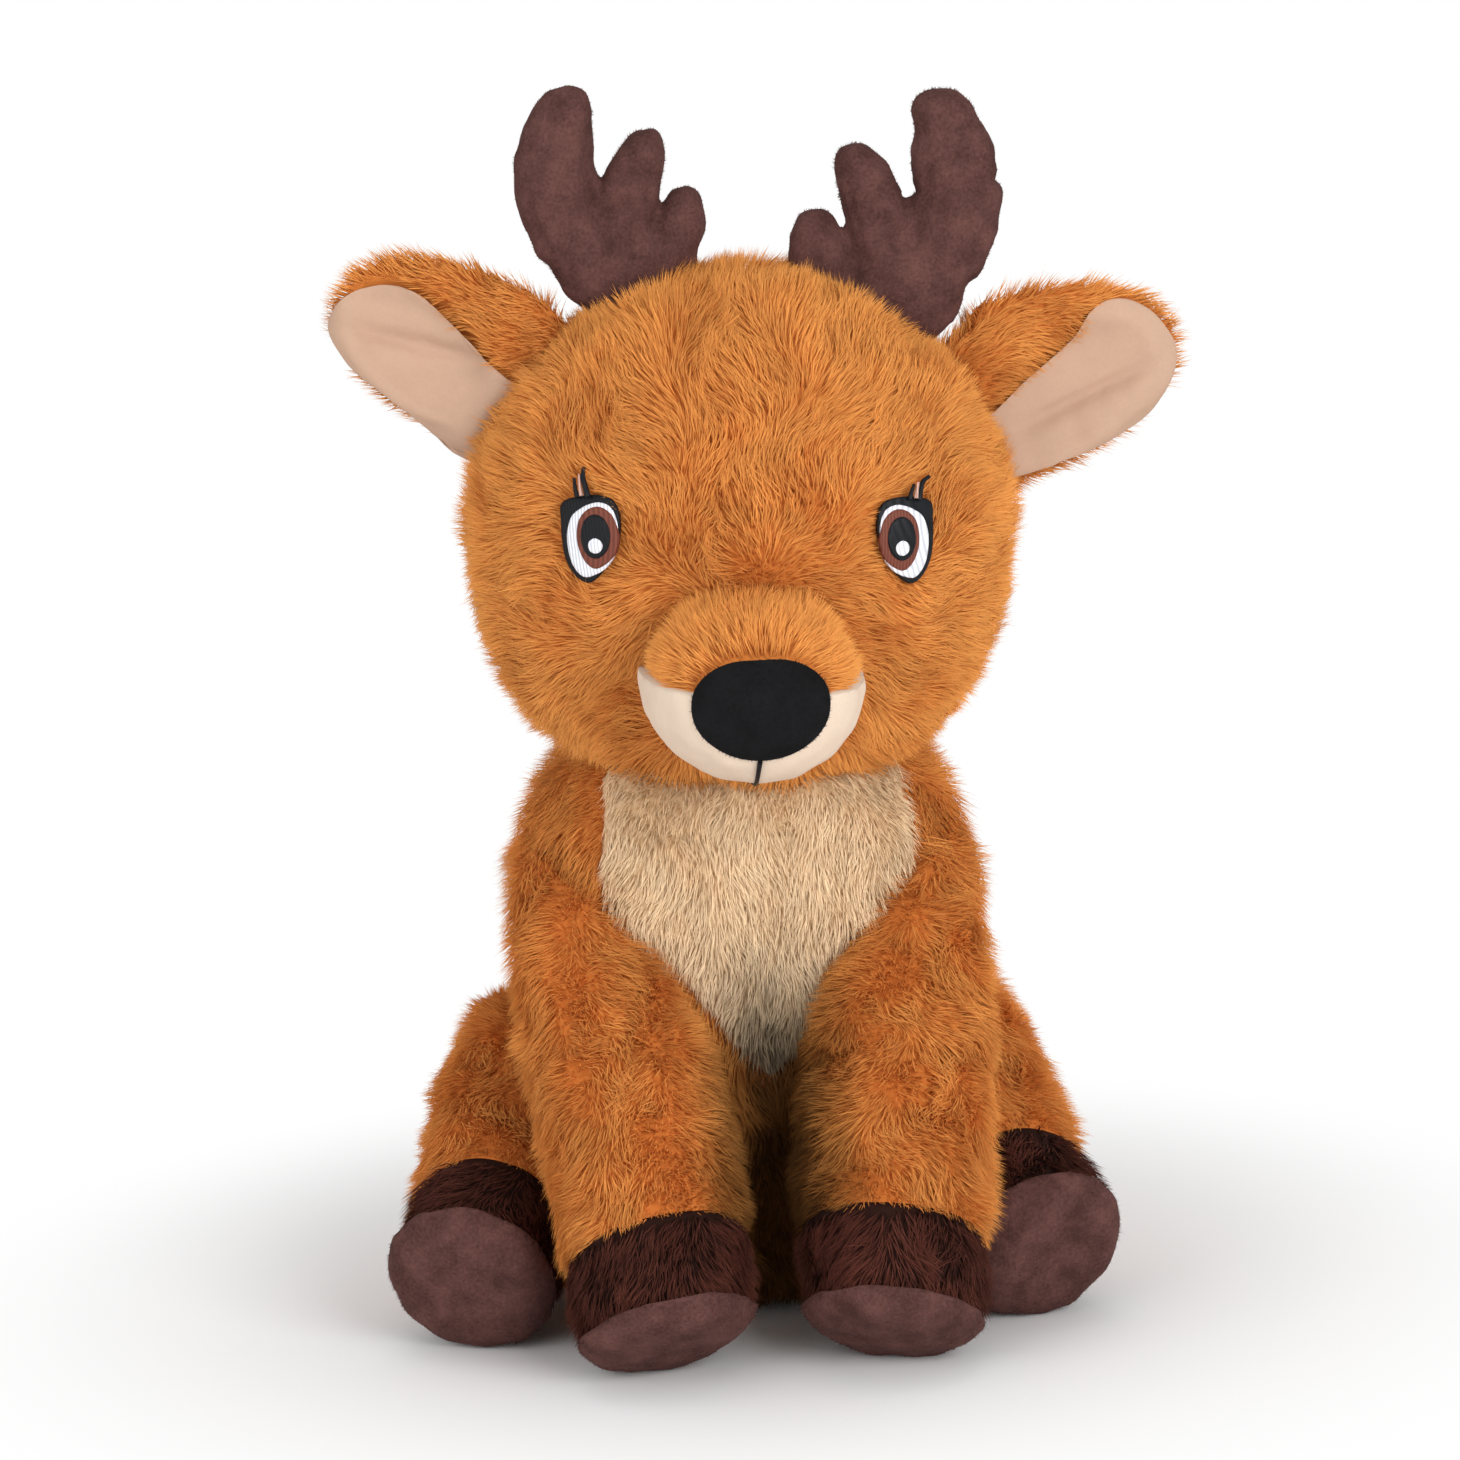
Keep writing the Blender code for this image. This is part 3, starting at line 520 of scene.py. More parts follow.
# The pile
def tuft_shape(segments):
    """One tuft along +Z, 1 long and 1 across: a three-sided taper with rings where it bends."""
    bpy.ops.object.select_all(action="DESELECT")
    bpy.ops.mesh.primitive_cone_add(vertices=3, radius1=0.5, depth=1, end_fill_type="NOTHING", location=(0, 0, 0.5))
    tuft = bpy.context.object
    bpy.ops.object.transform_apply(location=True)
    bpy.ops.object.mode_set(mode="EDIT")
    for step in range(1, segments):
        bpy.ops.mesh.select_all(action="SELECT")
        height = step / segments - RING_DROP
        bpy.ops.mesh.bisect(plane_co=(0, 0, height), plane_no=(0, 0, 1))
    bpy.ops.mesh.select_all(action="SELECT")
    bpy.ops.mesh.quads_convert_to_tris()
    bpy.ops.object.mode_set(mode="OBJECT")
    points = points_of(tuft.data)
    faces = np.array([list(face.vertices) for face in tuft.data.polygons])
    mesh = tuft.data
    bpy.data.objects.remove(tuft)
    bpy.data.meshes.remove(mesh)
    along = points[:, 2].copy()
    fullness = 1 + TUFT_BELLY * along * (1 - along)
    return points[:, 0] * fullness, points[:, 1] * fullness, along, faces


def scattered(mesh, density, rng):
    """Random places all over a mesh, with their normals."""
    mesh.calc_loop_triangles()
    corners = np.empty(len(mesh.loop_triangles) * 3, np.int32)
    mesh.loop_triangles.foreach_get("vertices", corners)
    corners = corners.reshape(-1, 3)
    points = points_of(mesh)
    normals = normals_of(mesh)
    a, b, c = (points[corners[:, k]] for k in range(3))
    areas = np.linalg.norm(np.cross(b - a, c - a), axis=1) / 2
    count = int(areas.sum() * 1e6 * density)
    found = rng.choice(len(corners), size=count, p=areas / areas.sum())
    u, v = rng.random(count), rng.random(count)
    over = u + v > 1
    u[over], v[over] = 1 - u[over], 1 - v[over]
    shares = np.stack([1 - u - v, u, v], axis=1)[:, :, None]
    places = (points[corners[found]] * shares).sum(axis=1)
    return places, unit((normals[corners[found]] * shares).sum(axis=1))


def near(tree, points, reach):
    """Which points lie within reach of the tree's shapes."""
    return np.array([tree.find_nearest(point, reach)[0] is not None for point in points.tolist()], bool)


def under(tree, points, normals, reach):
    """Which points have the tree's shapes straight over them."""
    rays = zip(points.tolist(), normals.tolist())
    return np.array([tree.ray_cast(point, normal, reach)[0] is not None for point, normal in rays], bool)


def long_pile(strand=1.0, density=1.0, upright=0.5, unruly=0.5, clump=0.5):
    """Two kinds of tuft: longer ones that gather in clumps, and a fine dense undercoat."""
    pile = bpy.context.scene.pile_sizes
    return (
        (0.20 * density * pile.density, strand * pile.strand, 1.10 * pile.width, upright, unruly, clump, 2),
        (0.80 * density * pile.density, 0.90 * strand * pile.strand, 0.90 * pile.width, upright,
         0.8 * unruly, 0.7 * clump, 1),
    )


def short_nap():
    """The short nap of velour."""
    sizes = bpy.context.scene.pile_sizes
    return ((1.4, sizes.nap, 0.00034, 0.6, 1.2, 0.0, 1),)


def tree_of(points):
    """A search tree over points."""
    tree = KDTree(len(points))
    for number, point in enumerate(points.tolist()):
        tree.insert(point, number)
    tree.balance()
    return tree


def unhidden(tops, bodies):
    """Which strands aren't hidden deep in other bodies, with a rim of those that are."""
    seen = inside_gaps(bodies, tops) > -HIDDEN_DEPTH
    shown = tree_of(np.vstack([tops[seen], FAR_AWAY]))
    deep = np.flatnonzero(~seen)
    seen[deep] = [shown.find(point)[2] < HIDDEN_RIM for point in tops[deep].tolist()]
    return seen


def combed(tops, normals, comb, unruly, seed, rng):
    """Which way each strand leans along its cloth, with swirls."""
    way = comb(tops)
    way = unit(way - normals * (way * normals).sum(axis=1, keepdims=True) + 1e-9)
    side = np.cross(normals, way)
    swirl = unruly * (1.1 * wander(tops, 0.012, seed + 11) + 0.6 * wander(tops, 0.005, seed + 12))
    swirl += rng.normal(scale=0.2, size=len(tops))
    return way * np.cos(swirl)[:, None] + side * np.sin(swirl)[:, None]


def grown(cloth, comb, own, seed, layers, depth, clear=(), trim=(), against=(), partners=(), shade=None):
    """Grows a pile on a cloth where it lies under its own node and not under its seam partners.

    It keeps clear of the pieces and nodes named in clear, each with its room, and is trimmed near those in trim,
    each with its reach and the share of the length that is left. Where it is pressed against other bodies it isn't
    grown past a rim, because nothing shows there. shade gives the painted shadow that darkens the pile in a narrow
    fold.
    """
    bare = cloth.data.copy()
    own_tree = tree_over(*own)
    partner_tree = tree_over(*partners) if partners else None
    clear_trees = [(tree_over(*things), room) for things, room in clear]
    trim_trees = [(tree_over(*things), far, least) for things, far, least in trim]
    for number, (density, strand, width, upright, unruly, clump, bends) in enumerate(layers):
        rng = np.random.default_rng(seed * 10 + number)
        roots, normals = scattered(bare, density, rng)
        tops = roots + normals * depth
        gaps = gaps_to(own_tree, tops, PILE_REACH)
        kept = gaps < PILE_REACH
        if partner_tree:
            kept &= gaps <= gaps_to(partner_tree, tops, PILE_REACH)
        for tree, room in clear_trees:
            some = np.flatnonzero(kept)
            over = under(tree, roots[some], normals[some], depth + PATCH_ROOM)
            kept[some[near(tree, tops[some], room) | over]] = False
        if against:
            some = np.flatnonzero(kept)
            kept[some] = unhidden(tops[some], against)
        roots, normals, tops = roots[kept], normals[kept], tops[kept]
        count = len(roots)
        if not count:
            raise RuntimeError(f"no pile grows on {cloth.name}")
        way = combed(tops, normals, comb, unruly, seed, rng)
        rise = upright * (1 + 0.30 * wander(tops, 0.008, seed + 13)) + rng.normal(scale=0.07, size=count)
        rise = np.clip(rise, 0.12, 0.97)
        lengths = strand * (1 + 0.10 * wander(tops, 0.010, seed + 14)) * rng.uniform(0.76, 1.12, count)
        for tree, far, least in trim_trees:
            lengths *= least + (1 - least) * gaps_to(tree, tops, far) / far
        feet = roots - normals * FOOT_DEPTH
        bends_at = feet + (normals * 0.62 + way * 0.22) * (lengths * 0.62)[:, None]
        tips = feet + (normals * rise[:, None] + way * np.sqrt(1 - rise**2)[:, None]) * lengths[:, None]
        tones_and_shadow = rng.random(count)
        if clump:
            each = 13 if bends > 1 else 30
            leaders = rng.choice(count, size=max(1, count // each), replace=False)
            tree = tree_of(feet[leaders])
            nearest = leaders[[tree.find(foot)[1] for foot in feet.tolist()]]
            tips = tips + (tips[nearest] - tips) * (clump * rng.uniform(0.3, 1.0, count))[:, None]
            tones_and_shadow = 0.55 * tones_and_shadow[nearest] + 0.45 * tones_and_shadow
        # Painted shadow: the strands' tones are darkened in the narrow fold between the front legs.
        if shade:
            tones_and_shadow = np.maximum(tones_and_shadow - TUFT_SHADE * shade(tops), DARKEST_TUFT)
        across, deep_in, along_it, faces = tuft_shape(bends)
        steps = along_it[None, :, None]
        spine = (1 - steps) ** 2 * feet[:, None] + 2 * steps * (1 - steps) * bends_at[:, None]
        spine = spine + steps**2 * tips[:, None]
        run = unit(tips - feet)
        beam = unit(np.cross(run, normals + 1e-6))
        back = np.cross(run, beam)
        wide = (width * rng.uniform(0.75, 1.25, count))[:, None, None]
        around = across[None, :, None] * beam[:, None] + 0.7 * deep_in[None, :, None] * back[:, None]
        points = spine + wide * around
        points[:, :, 2] = np.maximum(points[:, :, 2], LOWEST_TIP)
        softened = unit(0.6 * unit(around) + 0.35 * normals[:, None] + np.array((0, 0, 0.10)))
        add_pile(cloth, points, softened, faces, np.broadcast_to(along_it, points.shape[:2]), tones_and_shadow, shade)
    bpy.data.meshes.remove(bare)


def add_pile(cloth, points, normals, faces, along, tones_and_shadow, shade):
    """Joins strands to their cloth. tip runs from a strand's foot to its end; tuft differs between strands and
    holds painted fold shadow.
    """
    count, size = points.shape[:2]
    mesh = bpy.data.meshes.new(cloth.name + "_pile")
    mesh.vertices.add(count * size)
    mesh.vertices.foreach_set("co", points.astype(np.float32).ravel())
    corners = (faces[None] + (np.arange(count) * size)[:, None, None]).astype(np.int32).ravel()
    mesh.loops.add(len(corners))
    mesh.loops.foreach_set("vertex_index", corners)
    mesh.polygons.add(len(corners) // 3)
    mesh.polygons.foreach_set("loop_start", np.arange(0, len(corners), 3, dtype=np.int32))
    mesh.update(calc_edges=True)
    mesh.shade_smooth()
    first, second, third = (points[:, faces[:, corner]] for corner in range(3))
    facing_out = unit(np.cross(second - first, third - first))[:, :, None]
    shading = unit(OWN_SHADING * facing_out + SHARED_SHADING * normals[:, faces])
    mesh.normals_split_custom_set(shading.reshape(-1, 3))
    marked(mesh, along, np.repeat(tones_and_shadow[:, None], size, axis=1))
    if "tip" not in cloth.data.attributes:
        ground = points_of(cloth.data)
        # The cloth under the pile gets the same painted shadow in the fold.
        folds = 0.5 - CLOTH_SHADE * shade(ground) if shade else np.full(len(ground), 0.5)
        marked(cloth.data, np.zeros(len(ground)), np.maximum(folds, DARKEST_CLOTH))
    pile = new_piece(mesh.name, mesh)
    alone(cloth)
    pile.select_set(True)
    bpy.ops.object.join()


def marked(mesh, tips, tones_and_shadow):
    """Writes the two values that the pile's finish reads at each point."""
    for name, values in (("tip", tips), ("tuft", tones_and_shadow)):
        attribute = mesh.attributes.new(name, "FLOAT", "POINT")
        attribute.data.foreach_set("value", np.ascontiguousarray(values, np.float32).ravel())


# Combing: which way the pile lies at each place
def away_from(centre, droop=0.0):
    """Outwards from a point, and down at the back."""
    def comb(places):
        way = unit(places - np.array(centre))
        way[:, 2] -= droop * np.clip((places[:, 1] + 0.03) / 0.04, 0, 1.5)
        return way
    return comb


def along(direction):
    direction = np.array(direction, float)

    def comb(places):
        return np.repeat(direction[None], len(places), axis=0)
    return comb


def painted_fold_shadow(places):
    """How deep a place lies in the narrow fold between the front legs, from 0 to 1: the share of painted shadow
    there.
    """
    low = np.clip((FOLD_TOP - places[:, 2]) / FOLD_TOP_FADE, 0, 1)
    inside = np.clip(1.25 - np.abs(places[:, 0] - FOLD_MIDDLE) / FOLD_HALF_WIDTH, 0, 1)
    return low * inside * np.clip((FOLD_BACK - places[:, 1]) / FOLD_BACK_FADE, 0, 1)


def middle_of(node):
    low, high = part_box(node)
    return (low + high) / 2


# Finishes
SMOOTH_STEP = [("interpolation_type", "SMOOTHSTEP")]


def node_group(name, inputs, outputs):
    group = bpy.data.node_groups.new(name, "ShaderNodeTree")
    for kind, names in (("INPUT", inputs), ("OUTPUT", outputs)):
        for socket, form in names:
            group.interface.new_socket(socket, in_out=kind, socket_type=f"NodeSocket{form}")
    return group, group.nodes.new("NodeGroupInput"), group.nodes.new("NodeGroupOutput")


def linked(tree, kind, settings=(), **inputs):
    """A node with its settings, and its inputs linked or set. An input is named, or numbered as in _0."""
    node = tree.nodes.new("ShaderNode" + kind)
    for name, value in settings:
        setattr(node, name, value)
    for name, value in inputs.items():
        socket = node.inputs[int(name[1:]) if name[1:].isdigit() else name.replace("_", " ")]
        if isinstance(value, bpy.types.NodeSocket):
            tree.links.new(value, socket)
        else:
            socket.default_value = value
    return node


def maths(tree, operation, first, second=0.0):
    return linked(tree, "Math", [("operation", operation)], _0=first, _1=second).outputs[0]


def noise_over(tree, scale, detail=2.0):
    place = linked(tree, "TexCoord").outputs["Object"]
    return linked(tree, "TexNoise", Vector=place, Scale=scale, Detail=detail).outputs["Fac"]


def swung(tree, value, amount):
    """A value from 0 to 1, turned into one that swings round 0."""
    return maths(tree, "MULTIPLY", maths(tree, "SUBTRACT", value, 0.5), amount)


def marks(tree, name):
    """One of the two values that each point of a pile carries."""
    return linked(tree, "Attribute", [("attribute_name", name)]).outputs["Fac"]


def blended(tree, share, first, second):
    return linked(tree, "Mix", [("data_type", "RGBA")], _0=share, _6=first, _7=second).outputs[2]


def shaded(tree, colour, value):
    return linked(tree, "HueSaturation", Hue=0.5, Saturation=1.0, Value=value, Fac=1.0, Color=colour).outputs[0]


def pile_group():
    """Colour of a long pile, from its foot to its tips, with brushed patches, lighter and darker strands and
    painted fold shadow.
    """
    sockets = [("Root", "Color"), ("Tip", "Color"), ("Patches", "Float")]
    group, given, out = node_group("Pile", sockets, [("Color", "Color")])
    tip = marks(group, "tip")
    height = linked(group, "MapRange", SMOOTH_STEP, Value=tip, From_Min=0.08, From_Max=0.78).outputs[0]
    mixed = blended(group, height, given.outputs["Root"], given.outputs["Tip"])
    # The tuft value holds each strand's own tone, darkened by painted shadow in the narrow fold.
    tone_and_shadow = swung(group, marks(group, "tuft"), 0.33)
    patches = swung(group, noise_over(group, 55.0), given.outputs["Patches"])
    value = maths(group, "ADD", maths(group, "ADD", tone_and_shadow, patches), 1.0)
    group.links.new(shaded(group, mixed, value), out.inputs["Color"])
    return group


def nap_group():
    """A short brushed nap: soft mottling, fine grain and the height that goes with them."""
    sockets = [("Flat", "Color"), ("Brushed", "Color"), ("Mottle", "Float")]
    group, given, out = node_group("Nap", sockets, [("Color", "Color"), ("Height", "Float")])
    coarse = noise_over(group, 140.0, 3.0)
    fine = noise_over(group, 1300.0)
    both = maths(group, "ADD", maths(group, "MULTIPLY", coarse, 0.6), maths(group, "MULTIPLY", fine, 0.4))
    brushed = maths(group, "ADD", swung(group, both, given.outputs["Mottle"]), 0.42)
    brushed = maths(group, "ADD", brushed, maths(group, "MULTIPLY", marks(group, "tip"), 0.25))
    brushed.node.use_clamp = True
    mixed = blended(group, brushed, given.outputs["Flat"], given.outputs["Brushed"])
    group.links.new(mixed, out.inputs["Color"])
    group.links.new(both, out.inputs["Height"])
    return group


def thread_group():
    """Satin stitching: fine parallel threads, each with its own round back."""
    sockets = [("Thread", "Color"), ("Turn", "Vector")]
    group, given, out = node_group("Stitching", sockets, [("Color", "Color"), ("Height", "Float")])
    place = linked(group, "TexCoord").outputs["Object"]
    turned = linked(group, "Mapping", Vector=place, Rotation=given.outputs["Turn"]).outputs[0]
    across = [("bands_direction", "X")]
    wave = linked(group, "TexWave", across, Vector=turned, Scale=380.0, Distortion=1.2, Detail=2.0)
    lines = wave.outputs["Fac"]
    value = maths(group, "ADD", maths(group, "MULTIPLY", lines, 0.45), 0.72)
    group.links.new(shaded(group, given.outputs["Thread"], value), out.inputs["Color"])
    group.links.new(lines, out.inputs["Height"])
    return group


NODE_GROUPS = {"Pile": pile_group, "Nap": nap_group, "Stitching": thread_group}


def cloth_finish(name, kind, inputs, roughness, sheen, tint, specular=0.12, bump=None):
    """A material whose colour comes from one of the node groups, and its relief too if bump holds a strength and a
    height."""
    made = bpy.data.materials.get(name)
    if made:
        return made
    made = bpy.data.materials.new(name)
    made.use_nodes = True
    tree = made.node_tree
    shader = tree.nodes["Principled BSDF"]
    own = {"Roughness": roughness, "Specular IOR Level": specular, "Sheen Weight": sheen, "Sheen Roughness": 0.5,
           "Sheen Tint": (*tint, 1)}
    for socket, value in own.items():
        shader.inputs[socket].default_value = value
    node = tree.nodes.new("ShaderNodeGroup")
    node.node_tree = bpy.data.node_groups.get(kind) or NODE_GROUPS[kind]()
    for socket, value in inputs.items():
        node.inputs[socket].default_value = value
    tree.links.new(node.outputs["Color"], shader.inputs["Base Color"])
    if bump:
        raised = linked(tree, "Bump", Strength=bump[0], Distance=bump[1], Height=node.outputs["Height"])
        tree.links.new(raised.outputs[0], shader.inputs["Normal"])
    return made


def pile_finish(name, root, tip, patches=0.30):
    inputs = {"Root": (*root, 1), "Tip": (*tip, 1), "Patches": patches}
    return cloth_finish(name, "Pile", inputs, 0.85, 0.10, tip)


def nap_finish(name, flat, brushed, mottle, bump=0.35, sheen=0.12):
    inputs = {"Flat": (*flat, 1), "Brushed": (*brushed, 1), "Mottle": mottle}
    return cloth_finish(name, "Nap", inputs, 0.9, sheen, brushed, bump=(bump, 0.0004))


def thread_finish(colour_name, turn):
    """The finish of one colour of thread, with its threads turned this way."""
    thread = getattr(bpy.context.scene.cloth_colours, f"{colour_name}_thread")
    inputs = {"Thread": (*thread, 1), "Turn": turn}
    return cloth_finish(f"{colour_name}_stitching", "Stitching", inputs, 0.5, 0.0, (1, 1, 1), 0.2, (0.5, 0.0002))


def black_stitching():
    return thread_finish("black", (0.3, 0, 0.8))


def tan_pile():
    colours = bpy.context.scene.cloth_colours
    return pile_finish("tan_pile", colours.tan_root, colours.tan_tip)


def brown_pile():
    colours = bpy.context.scene.cloth_colours
    return pile_finish("brown_pile", colours.brown_root, colours.brown_tip, 0.8)


def brown_nap():
    colours = bpy.context.scene.cloth_colours
    return nap_finish("brown_nap", colours.brown_velour, colours.brown_worn, 3.2)


def scaled(colour, share):
    return [share * value for value in colour]


def sewn(piece, body, nodes, material):
    """Gives a piece its finish, its body and the nodes it stands for."""
    piece.data.materials.clear()
    piece.data.materials.append(material)
    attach(piece, body)
    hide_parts(*nodes)


# Outlines in tenths of a millimetre. The eyes' run from their own middle, with X away from the nose and Y up.
EYE_LAYERS = (
    ("lid", "outline", "black_thread", (
        (-71, 12), (-71, 47), (-62, 78), (-41, 96), (-4, 101), (33, 97), (66, 89), (83, 74), (81, 44), (78, 0),
        (70, -45), (53, -77), (29, -97), (3, -100), (-24, -78), (-49, -44), (-65, -13))),
    ("white", "white", "white_thread", (
        (-70, 10), (-66, 44), (-51, 73), (-25, 84), (2, 80), (27, 68), (47, 53), (57, 30), (61, 0), (54, -45),
        (39, -73), (18, -88), (-7, -83), (-35, -68), (-60, -36), (-70, -8))),
    ("iris", "iris", "brown_thread", (
        (32, 9), (26, 44), (4, 68), (-27, 74), (-57, 54), (-72, 12), (-67, -25), (-46, -52), (-14, -68),
        (10, -54), (26, -25))),
    ("pupil", "pupil", "black_thread", (
        (19, 9), (11, 41), (-13, 57), (-40, 46), (-54, 13), (-47, -23), (-24, -43), (-1, -39), (14, -19))),
    ("glint", "glint", "white_thread", (
        (-2, -14), (-7, -2), (-19, 3), (-31, -2), (-37, -14), (-31, -27), (-19, -32), (-7, -27))),
)
LASHES = {
    "right": (
        ("long_lash", "black_thread", 0.00075, ((2, 96), (11, 122), (18, 142), (19, 163))),
        ("lash_accent", "brown_thread", 0.00055, ((19, 99), (25, 122), (29, 147))),
        ("lash_short", "black_thread", 0.00060, ((30, 95), (37, 115), (42, 138))),
    ),
    "left": (
        ("long_lash", "black_thread", 0.00075, ((38, 90), (44, 112), (55, 130), (76, 139))),
        ("lash_accent", "brown_thread", 0.00055, ((29, 95), (34, 113), (41, 130))),
        ("lash_short", "black_thread", 0.00060, ((12, 94), (20, 112), (29, 127))),
    ),
}
# The nose, in shares of its half width and half height
NOSE_OUTLINE = (
    (0.0, 0.97), (0.4, 0.94), (0.72, 0.76), (0.94, 0.44), (1.0, 0.05), (0.93, -0.34), (0.72, -0.67),
    (0.4, -0.91), (0.0, -1.0), (-0.4, -0.91), (-0.72, -0.67), (-0.93, -0.34), (-1.0, 0.05), (-0.94, 0.44),
    (-0.72, 0.76), (-0.4, 0.94),
)
# The ear linings' outlines and creases, across and up, in tenths of a millimetre
LINING_OUTLINES = {
    "right": (
        (-912, 2415), (-872, 2468), (-800, 2492), (-733, 2486), (-674, 2445), (-609, 2379), (-557, 2317),
        (-510, 2268), (-465, 2230), (-500, 2130), (-575, 2065), (-632, 2085), (-704, 2152), (-782, 2222),
        (-862, 2292), (-905, 2360)),
    "left": (
        (600, 2080), (650, 2125), (750, 2205), (845, 2286), (885, 2347), (948, 2372), (1032, 2339), (1087, 2270),
        (1092, 2200), (1037, 2100), (951, 2042), (829, 1996), (700, 1964), (620, 1975)),
}
LINING_CREASES = {"right": ((-860, 2390), (-560, 2305)), "left": ((1050, 2220), (700, 2070))}
# Sewn seams across each antler, from across and up to across and up, and dents in its front with their across, up,
# radius and depth, in tenths of a millimetre
ANTLER_SEAMS = {"right": (), "left": ((450, 2650, 690, 2672),)}
ANTLER_DENTS = {"right": ((-210, 2633, 45, 30),), "left": ((440, 2560, 40, 16),)}
# A place's own X, Y and outward Z on the deer's front
FRONTAL = (Vector((1, 0, 0)), Vector((0, 0, 1)), Vector((0, -1, 0)))


def stitched_line(name, route, radius, taper):
    """A raised line of stitching along a route, thinner at its end."""
    bpy.ops.object.select_all(action="DESELECT")
    bpy.ops.curve.primitive_bezier_curve_add(location=(0, 0, 0))
    line = bpy.context.object
    spline = line.data.splines[0]
    spline.bezier_points.add(len(route) - 2)
    for step, (point, place) in enumerate(zip(spline.bezier_points, route)):
        point.co = place
        point.handle_left_type = point.handle_right_type = "AUTO"
        point.radius = 1 - taper * step / (len(route) - 1)
    line.data.bevel_depth = radius
    line.data.bevel_resolution = 3
    line.data.use_fill_caps = True
    alone(line)
    bpy.ops.object.convert(target="MESH")
    line.name = name
    line.data.materials.clear()
    return line


def metres(tenths):
    """Measures given in tenths of a millimetre."""
    return np.array(tenths) / 10000


def both_sides(*stems):
    return [f"{stem}_{side}" for stem in stems for side in SIDES]


# The nodes that fill the outer form of each part
FORMS = {
    "body": ["body_fur", "chest_panel", "body_fill", "pellet_bag"],
    "head": ["head_fur", "head_fill"],
    "muzzle": ["muzzle_fur", "muzzle_chin", "muzzle_fill"],
    "tail": ["tail"],
}
for limb in both_sides("front_leg", "hind_leg"):
    kind, _, end = limb.rpartition("_")
    FORMS[limb] = [f"{kind}_{piece}_{end}" for piece in ("fur", "cuff", "sole", "fill")]


class DEER_OT_trunk(bpy.types.Operator):
    """Sews the body's fur cloth and the chest panel"""
    bl_idname = "deer.trunk"
    bl_label = "Trunk"

    def execute(self, context):
        pile = context.scene.pile_sizes
        colours = context.scene.cloth_colours
        others = ["head", *both_sides("front_leg", "hind_leg"), "tail"]
        body = rounded("body_coat", FORMS["body"], pile.voxel, steps=6, root=(["head_fur"], 0.0030, 0.0090))
        stuffed(body, cap=0.0014)
        chest = facing(sunk(body, pile.depth), "chest_panel", "body_fur", pile.depth, 0.0060)
        chest.name = "chest_coat"
        for piece in (body, chest):
            raised_to(piece, both_sides("front_leg_fur"), height=0.0042, reach=0.014)
        trim = [(["chest_panel"], 0.004, 0.6), (both_sides("front_leg_fur"), 0.010, 1.5)]
        coarse = long_pile(upright=0.68, unruly=0.7, clump=0.28)
        # shade paints shadow into the body's pile and cloth in the narrow fold between the front legs
        grown(body, along((0, 0.25, -1)), ["body_fur"], 1, coarse, pile.depth,
              trim=trim, against=others, partners=["chest_panel"], shade=painted_fold_shadow)
        soft = long_pile(strand=0.80, density=1.1, upright=0.66, unruly=0.35, clump=0.25)
        # shade paints shadow into the chest's pile where it runs down into the fold between the front legs
        grown(chest, along((0, 0, -1)), ["chest_panel"], 2, soft, pile.depth - 0.001,
              against=others, partners=["body_fur"], shade=painted_fold_shadow)
        sewn(body, "body", ["body_fur", "body_fill", "pellet_bag"], tan_pile())
        cream = pile_finish("cream_pile", colours.cream_root, colours.cream_tip, 0.2)
        sewn(chest, "body", ["chest_panel"], cream)
        return {"FINISHED"}


class DEER_OT_eyes(bpy.types.Operator):
    """Stitches both eyes: lid, white, iris, pupil, glint and lashes"""
    bl_idname = "deer.eyes"
    bl_label = "Eyes"

    def execute(self, context):
        form = rounded("face_form", FORMS["head"], voxel=0.0030, steps=5)
        face = tree_over(form)
        bpy.data.objects.remove(form)
        for which in SIDES:
            self.stitch_eye(context, which, face)
        return {"FINISHED"}

    def eye_place(self, which):
        """The middle of the eye, and its own X away from the nose, Y up and Z out of the face."""
        points = points_of(NODES[f"eye_outline_{which}"].data)
        middle = Vector(points.mean(axis=0))
        flat = Vector(np.linalg.svd(points - points.mean(axis=0))[2][2])
        out = flat if flat.y < 0 else -flat
        up = Vector((0, 0, 1))
        up = (up - out * up.dot(out)).normalized()
        return middle, up.cross(out) * SIDES[which], up, out

    def stitch_eye(self, context, which, face):
        finishes = {
            "black_thread": black_stitching(),
            "white_thread": thread_finish("white", (0.2, 0, 0.5)),
            "brown_thread": thread_finish("brown", (0.2, 0, -0.4)),
        }
        place = self.eye_place(which)
        for lift, (name, node, slot, outline) in enumerate(EYE_LAYERS):
            piece = patch(f"stitched_{name}_{which}", place, metres(outline), face, height=0.0004, thickness=0.0026,
                          lift=0.0004 * lift - 0.0006, segments=64, rings=14, edge=0.5)
            sewn(piece, "head", [f"eye_{node}_{which}"], finishes[slot])
        pink = thread_finish("pink", (0.2, 0, 0.1))
        for name, slot, radius, points in LASHES[which]:
            middle, across, up, out = place
            route = []
            for x, y in metres(points).tolist():
                flat = middle + across * x + up * y
                route.append(under_ray(face, flat + out * RAY_START, -out, flat) + out * 0.0005)
            piece = stitched_line(f"{name}_{which}", route, radius, taper=0.4)
            piece.data.materials.append(pink if name == "lash_accent" else finishes[slot])
            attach(piece, "head")


